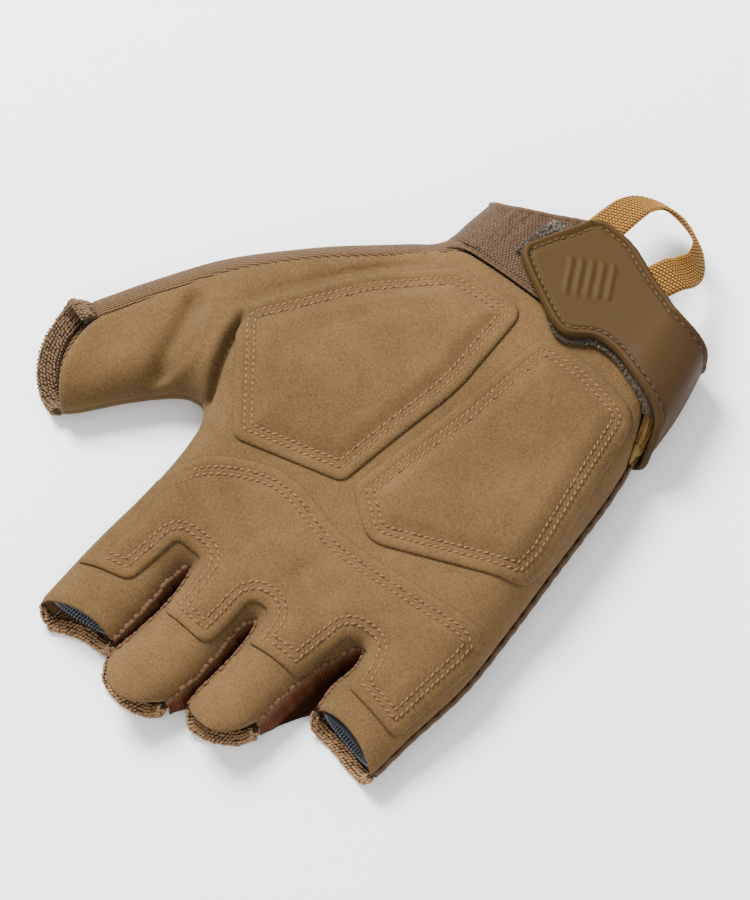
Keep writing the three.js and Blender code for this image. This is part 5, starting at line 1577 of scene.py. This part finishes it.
class GLOVE_OT_strap(bpy.types.Operator):
    """Moulded strap with a raised rim, a stitched groove and slanting grip ribs on its tab."""
    bl_idname = "glove.strap"
    bl_label = "Strap"

    def execute(self, context):
        grid = strap_grid()
        from_far = away_from(grid[:, 0], grid)
        from_near = away_from(np.concatenate([grid[0, 1:], grid[:, -1]]), grid)
        rim = np.maximum(self.bead(from_near, 0.95, 0.85), self.bead(from_far, 0.75, 0.6))
        rim -= (0.5 * bell(from_near - NEAR_GROOVE, 0.5)
                + 0.4 * bell(from_far - FAR_GROOVE, 0.45) * (from_near > 3))
        x, y, z = grid[..., 0] - GRIP_X, grid[..., 1] - GRIP_Y, grid[..., 2]
        slant, cross = x * 0.86 + y * 0.5, -x * 0.5 + y * 0.86
        field = (smoothstep(GRIP_HALF_LENGTH - np.abs(slant), 0, 0.5)
                 * smoothstep(GRIP_HALF_WIDTH - np.abs(cross), 0, 0.9) * (z > 15))
        ribs = 0.55 * field * smoothstep(np.cos(slant * 2 * np.pi / GRIP_PITCH), 0.1, 0.75)
        lift = mix(STRAP_GAP, STRAP_LIFT, smoothstep(z, 10, 19))
        offsets = np.stack([lift, lift + STRAP_THICKNESS - 0.45 + rim + ribs], -1)
        points, faces, offsets = Cloth().grid(grid, True, offsets).welded()
        solid = thickened((points, faces, points[:, :2]), offsets[:, 0], offsets[:, 1], 0.3)
        make_piece("strap", solid, [finish("rubber")], ["strap"])
        thread = self.thread(tree_of((solid[0][:len(points)], faces)), grid, from_near, from_far)
        make_piece("strap_stitches", thread, [finish("strap_thread")])
        return {"FINISHED"}

    @staticmethod
    def bead(away, middle, tall):
        """Round rim whose middle lies at that distance from the edge."""
        return tall * np.sqrt(np.clip(1 - ((away - middle) / middle) ** 2, 0, 1))

    @staticmethod
    def thread(tree, grid, from_near, from_far):
        """Stitches in the groove: along the far edge, round the tab's end and along the near edge."""
        away = lengths_of(grid[:, STRAP_MIDDLE])
        first, turn_row = (int(np.abs(away - d).argmin()) for d in (NEAR_GROOVE, STRAP_CORNER))

        def groove_line(distance, values, columns):
            picks = np.abs(values[turn_row:STRAP_LAST_ROW, columns] - distance).argmin(1)
            line = grid[turn_row:STRAP_LAST_ROW, columns][np.arange(len(picks)), picks]
            return line[line[:, 2] > 3]

        clear = np.linalg.norm(grid[first] - grid[turn_row, -1], axis=1) > 3.6
        path = np.concatenate([groove_line(FAR_GROOVE, from_far, slice(None, STRAP_MIDDLE))[::-1],
                               grid[first][(from_far[first] > 3.2) & clear],
                               groove_line(NEAR_GROOVE, from_near, slice(STRAP_MIDDLE, None))])
        path = resampled(path, 0.3)
        place, along = stations_on(path, int(lengths_of(path)[-1] / STRAP_STITCH_PITCH), 0.6)
        hits = [tree.find_nearest(Vector(p + np.array([0, 0, 0.5])))[:2] for p in place]
        spots, normal = (np.array([tuple(hit[k]) for hit in hits]) for k in (0, 1))
        return capsules(spots + normal * 0.06, along, normal, STRAP_STITCH_LENGTH, STRAP_THREAD_RADIUS,
                        arch=0.12)


class GLOVE_OT_pull_loop(bpy.types.Operator):
    """Woven webbing loop with its weave in relief."""
    bl_idname = "glove.pull_loop"
    bl_label = "Pull loop"

    def execute(self, context):
        sizes, _ = settings()
        path = catmull(LOOP_STATIONS, 44)
        tilt = np.radians(evened(path[:, 3], 9))
        centre = path[:, :3]
        along = np.gradient(centre, axis=0)
        side = unit(np.stack([-along[:, 1], along[:, 0]], 1))
        outwards = ((centre[:, :2] - LOOP_EYE) * side).sum(1)
        side *= np.where(outwards < 0, -1, 1)[:, None]
        w = np.linspace(-WEBBING_WIDTH / 2, WEBBING_WIDTH / 2, 46)
        grid = np.empty((len(centre), len(w), 3))
        grid[..., :2] = centre[:, None, :2] + side[:, None] * (w[None] * np.cos(tilt)[:, None])[..., None]
        grid[..., 2] = centre[:, None, 2] - w[None] * np.sin(tilt)[:, None]
        s = lengths_of(centre)
        pitch = sizes.weave_pitch / MM
        row = w / WEAVE_ROW_WIDTH + 50
        across_row = row % 1.0 - 0.5
        phase = (s[:, None] / pitch + np.floor(row)[None] * 0.36) % 1.0 - 0.5
        floats = np.sqrt(np.clip(1 - (phase / 0.46) ** 2 - (across_row[None] / 0.52) ** 2, 0, 1))
        border = smoothstep(WEBBING_WIDTH / 2 - np.abs(w), 0, 0.9)[None]
        half = WEBBING_THICKNESS / 2
        high = (half - 0.25 + 0.32 * floats) * (0.45 + 0.55 * border)
        # The map's second coordinate is the height of the weave's floats; the finish darkens their low places
        # as painted shade
        points, faces, marks = Cloth().grid(grid, True, map_of(s[:, None], floats)).welded()
        key_of = lambda places: [tuple(k) for k in np.round(places / WELD_STEP).astype(int).tolist()]
        offset_at = dict(zip(key_of(grid.reshape(-1, 3)), high.ravel()))
        offset = np.array([offset_at[key] for key in key_of(points)])
        solid = thickened((points, faces, marks), -offset, offset, 0.4)
        make_piece("pull_loop", solid, [finish("webbing")], ["pull_loop"])
        return {"FINISHED"}


class GLOVE_OT_side(bpy.types.Operator):
    """Folded edge down the little-finger side and the pleated fabric in the vent."""
    bl_idname = "glove.side"
    bl_label = "Side seam and vent"

    def execute(self, context):
        ulnar = SIDES["ulnar"]
        s = np.arange(0.5, ulnar.at_y(36), 0.35)
        twist = np.sin(s * 1.15 + 0.8 * np.sin(s * 0.31))
        path = edge_point(ulnar, s, 7 + 1.6 * twist)
        low = edge_point(ulnar, s, -2 - 1.2 * twist)
        cords = [cord(path, 0.72 + 0.12 * twist, 0.62 + 0.1 * twist, 10),
                 cord(low, 0.5 - 0.1 * twist, 0.5, 8)]
        make_piece("side_seam_binding", merged(*cords), [finish("piping")], ["side_seam_binding"])
        t, v = np.linspace(0, 1, 60), np.linspace(0, 1, 34)
        a = at_shares(catmull(GUSSET_UPPER_EDGE), t)
        b = edge_point(ulnar, np.interp(t, [0, 1], [ulnar.at_y(58), ulnar.at_y(38.4)]), 14)
        grid = on_top(mix(a[:, None], b[:, None, :2], v[None, :, None]))
        pleats = np.sin(v[None] * GUSSET_PLEATS * 2 * np.pi + 0.5 * np.sin(t * 5)[:, None])
        grid[..., 2] += 0.85 * pleats * np.sin(np.pi * np.minimum(1, t + 0.1))[:, None] - 0.9
        grid[:, -1] = b - np.array([0, 0, 0.9])
        solid = thickened(Cloth().grid(grid), -1.1, 0.0)
        make_piece("vent_gusset", solid, [finish("fleece")], ["vent_gusset"])
        return {"FINISHED"}


class GLOVE_OT_stage(bpy.types.Operator):
    """Pale floor, soft light from the thumb side and the camera."""
    bl_idname = "glove.stage"
    bl_label = "Stage"

    def execute(self, context):
        _, colours = settings()
        bpy.ops.mesh.primitive_plane_add(size=6.0, location=(0, 0, -0.0002))
        floor = context.object
        floor.name = "floor"
        shader = Shader("pale_floor", 0.9, specular=0.2)
        cloud = shader.noise(3.0, 2, 0.5)
        floor.data.materials.append(shader.finish(shader.scaled(colours.floor, 0.99 + 0.02 * cloud)))
        world = bpy.data.worlds.new("soft_room")
        world.use_nodes = True
        sky = world.node_tree.nodes["Background"]
        sky.inputs["Color"].default_value = (0.96, 0.98, 1.0, 1)
        sky.inputs["Strength"].default_value = 1.15
        context.scene.world = world
        for name, place, size, power in LAMPS:
            light = bpy.data.lights.new(name, "AREA")
            light.size, light.energy = size, power
            lamp = bpy.data.objects.new(name, light)
            lamp.location = place
            lamp.rotation_mode = "QUATERNION"
            lamp.rotation_quaternion = (-Vector(place)).to_track_quat("-Z", "Y")
            context.scene.collection.objects.link(lamp)
        camera = bpy.data.objects.new("camera", bpy.data.cameras.new("camera"))
        context.scene.collection.objects.link(camera)
        look = (np.array(LOOK_AT) + DRAWING_SHIFT) * MM
        azimuth, elevation = math.radians(AZIMUTH), math.radians(ELEVATION)
        level = math.cos(elevation)
        back = Vector((math.sin(azimuth) * level, -math.cos(azimuth) * level, math.sin(elevation)))
        camera.location = Vector(look) + back * DISTANCE
        camera.rotation_mode = "QUATERNION"
        camera.rotation_quaternion = (-back).to_track_quat("-Z", "Y")
        camera.data.lens, camera.data.sensor_width = LENS, 36.0
        camera.data.clip_start, camera.data.clip_end = 0.01, 20.0
        context.scene.camera = camera
        return {"FINISHED"}


STEPS = (
    GLOVE_OT_stage,
    GLOVE_OT_palm,
    GLOVE_OT_back,
    GLOVE_OT_fourchettes,
    GLOVE_OT_pads,
    GLOVE_OT_knuckle_patch,
    GLOVE_OT_hems,
    GLOVE_OT_linings,
    GLOVE_OT_cuff,
    GLOVE_OT_strap,
    GLOVE_OT_pull_loop,
    GLOVE_OT_side,
)


class GLOVE_PT_panel(bpy.types.Panel):
    """Sizes, colours and the making of each piece."""
    bl_idname = "GLOVE_PT_panel"
    bl_label = "Fingerless Glove"
    bl_space_type = "VIEW_3D"
    bl_region_type = "UI"
    bl_category = "Glove"

    def draw(self, context):
        for group in (context.scene.glove_sizes, context.scene.glove_colours):
            for key in group.__annotations__:
                self.layout.prop(group, key)
        for step in STEPS:
            self.layout.operator(step.bl_idname)


CLASSES = (GloveSizes, GloveColours, *STEPS, GLOVE_PT_panel)


def register():
    for item in CLASSES:
        bpy.utils.register_class(item)
    bpy.types.Scene.glove_sizes = bpy.props.PointerProperty(type=GloveSizes)
    bpy.types.Scene.glove_colours = bpy.props.PointerProperty(type=GloveColours)


def unregister():
    del bpy.types.Scene.glove_sizes
    del bpy.types.Scene.glove_colours
    for item in reversed(CLASSES):
        bpy.utils.unregister_class(item)


def main():
    register()
    bpy.ops.object.select_all(action="DESELECT")
    for step in STEPS:
        group, name = step.bl_idname.split(".")
        getattr(getattr(bpy.ops, group), name)()


if __name__ == "__main__":
    main()
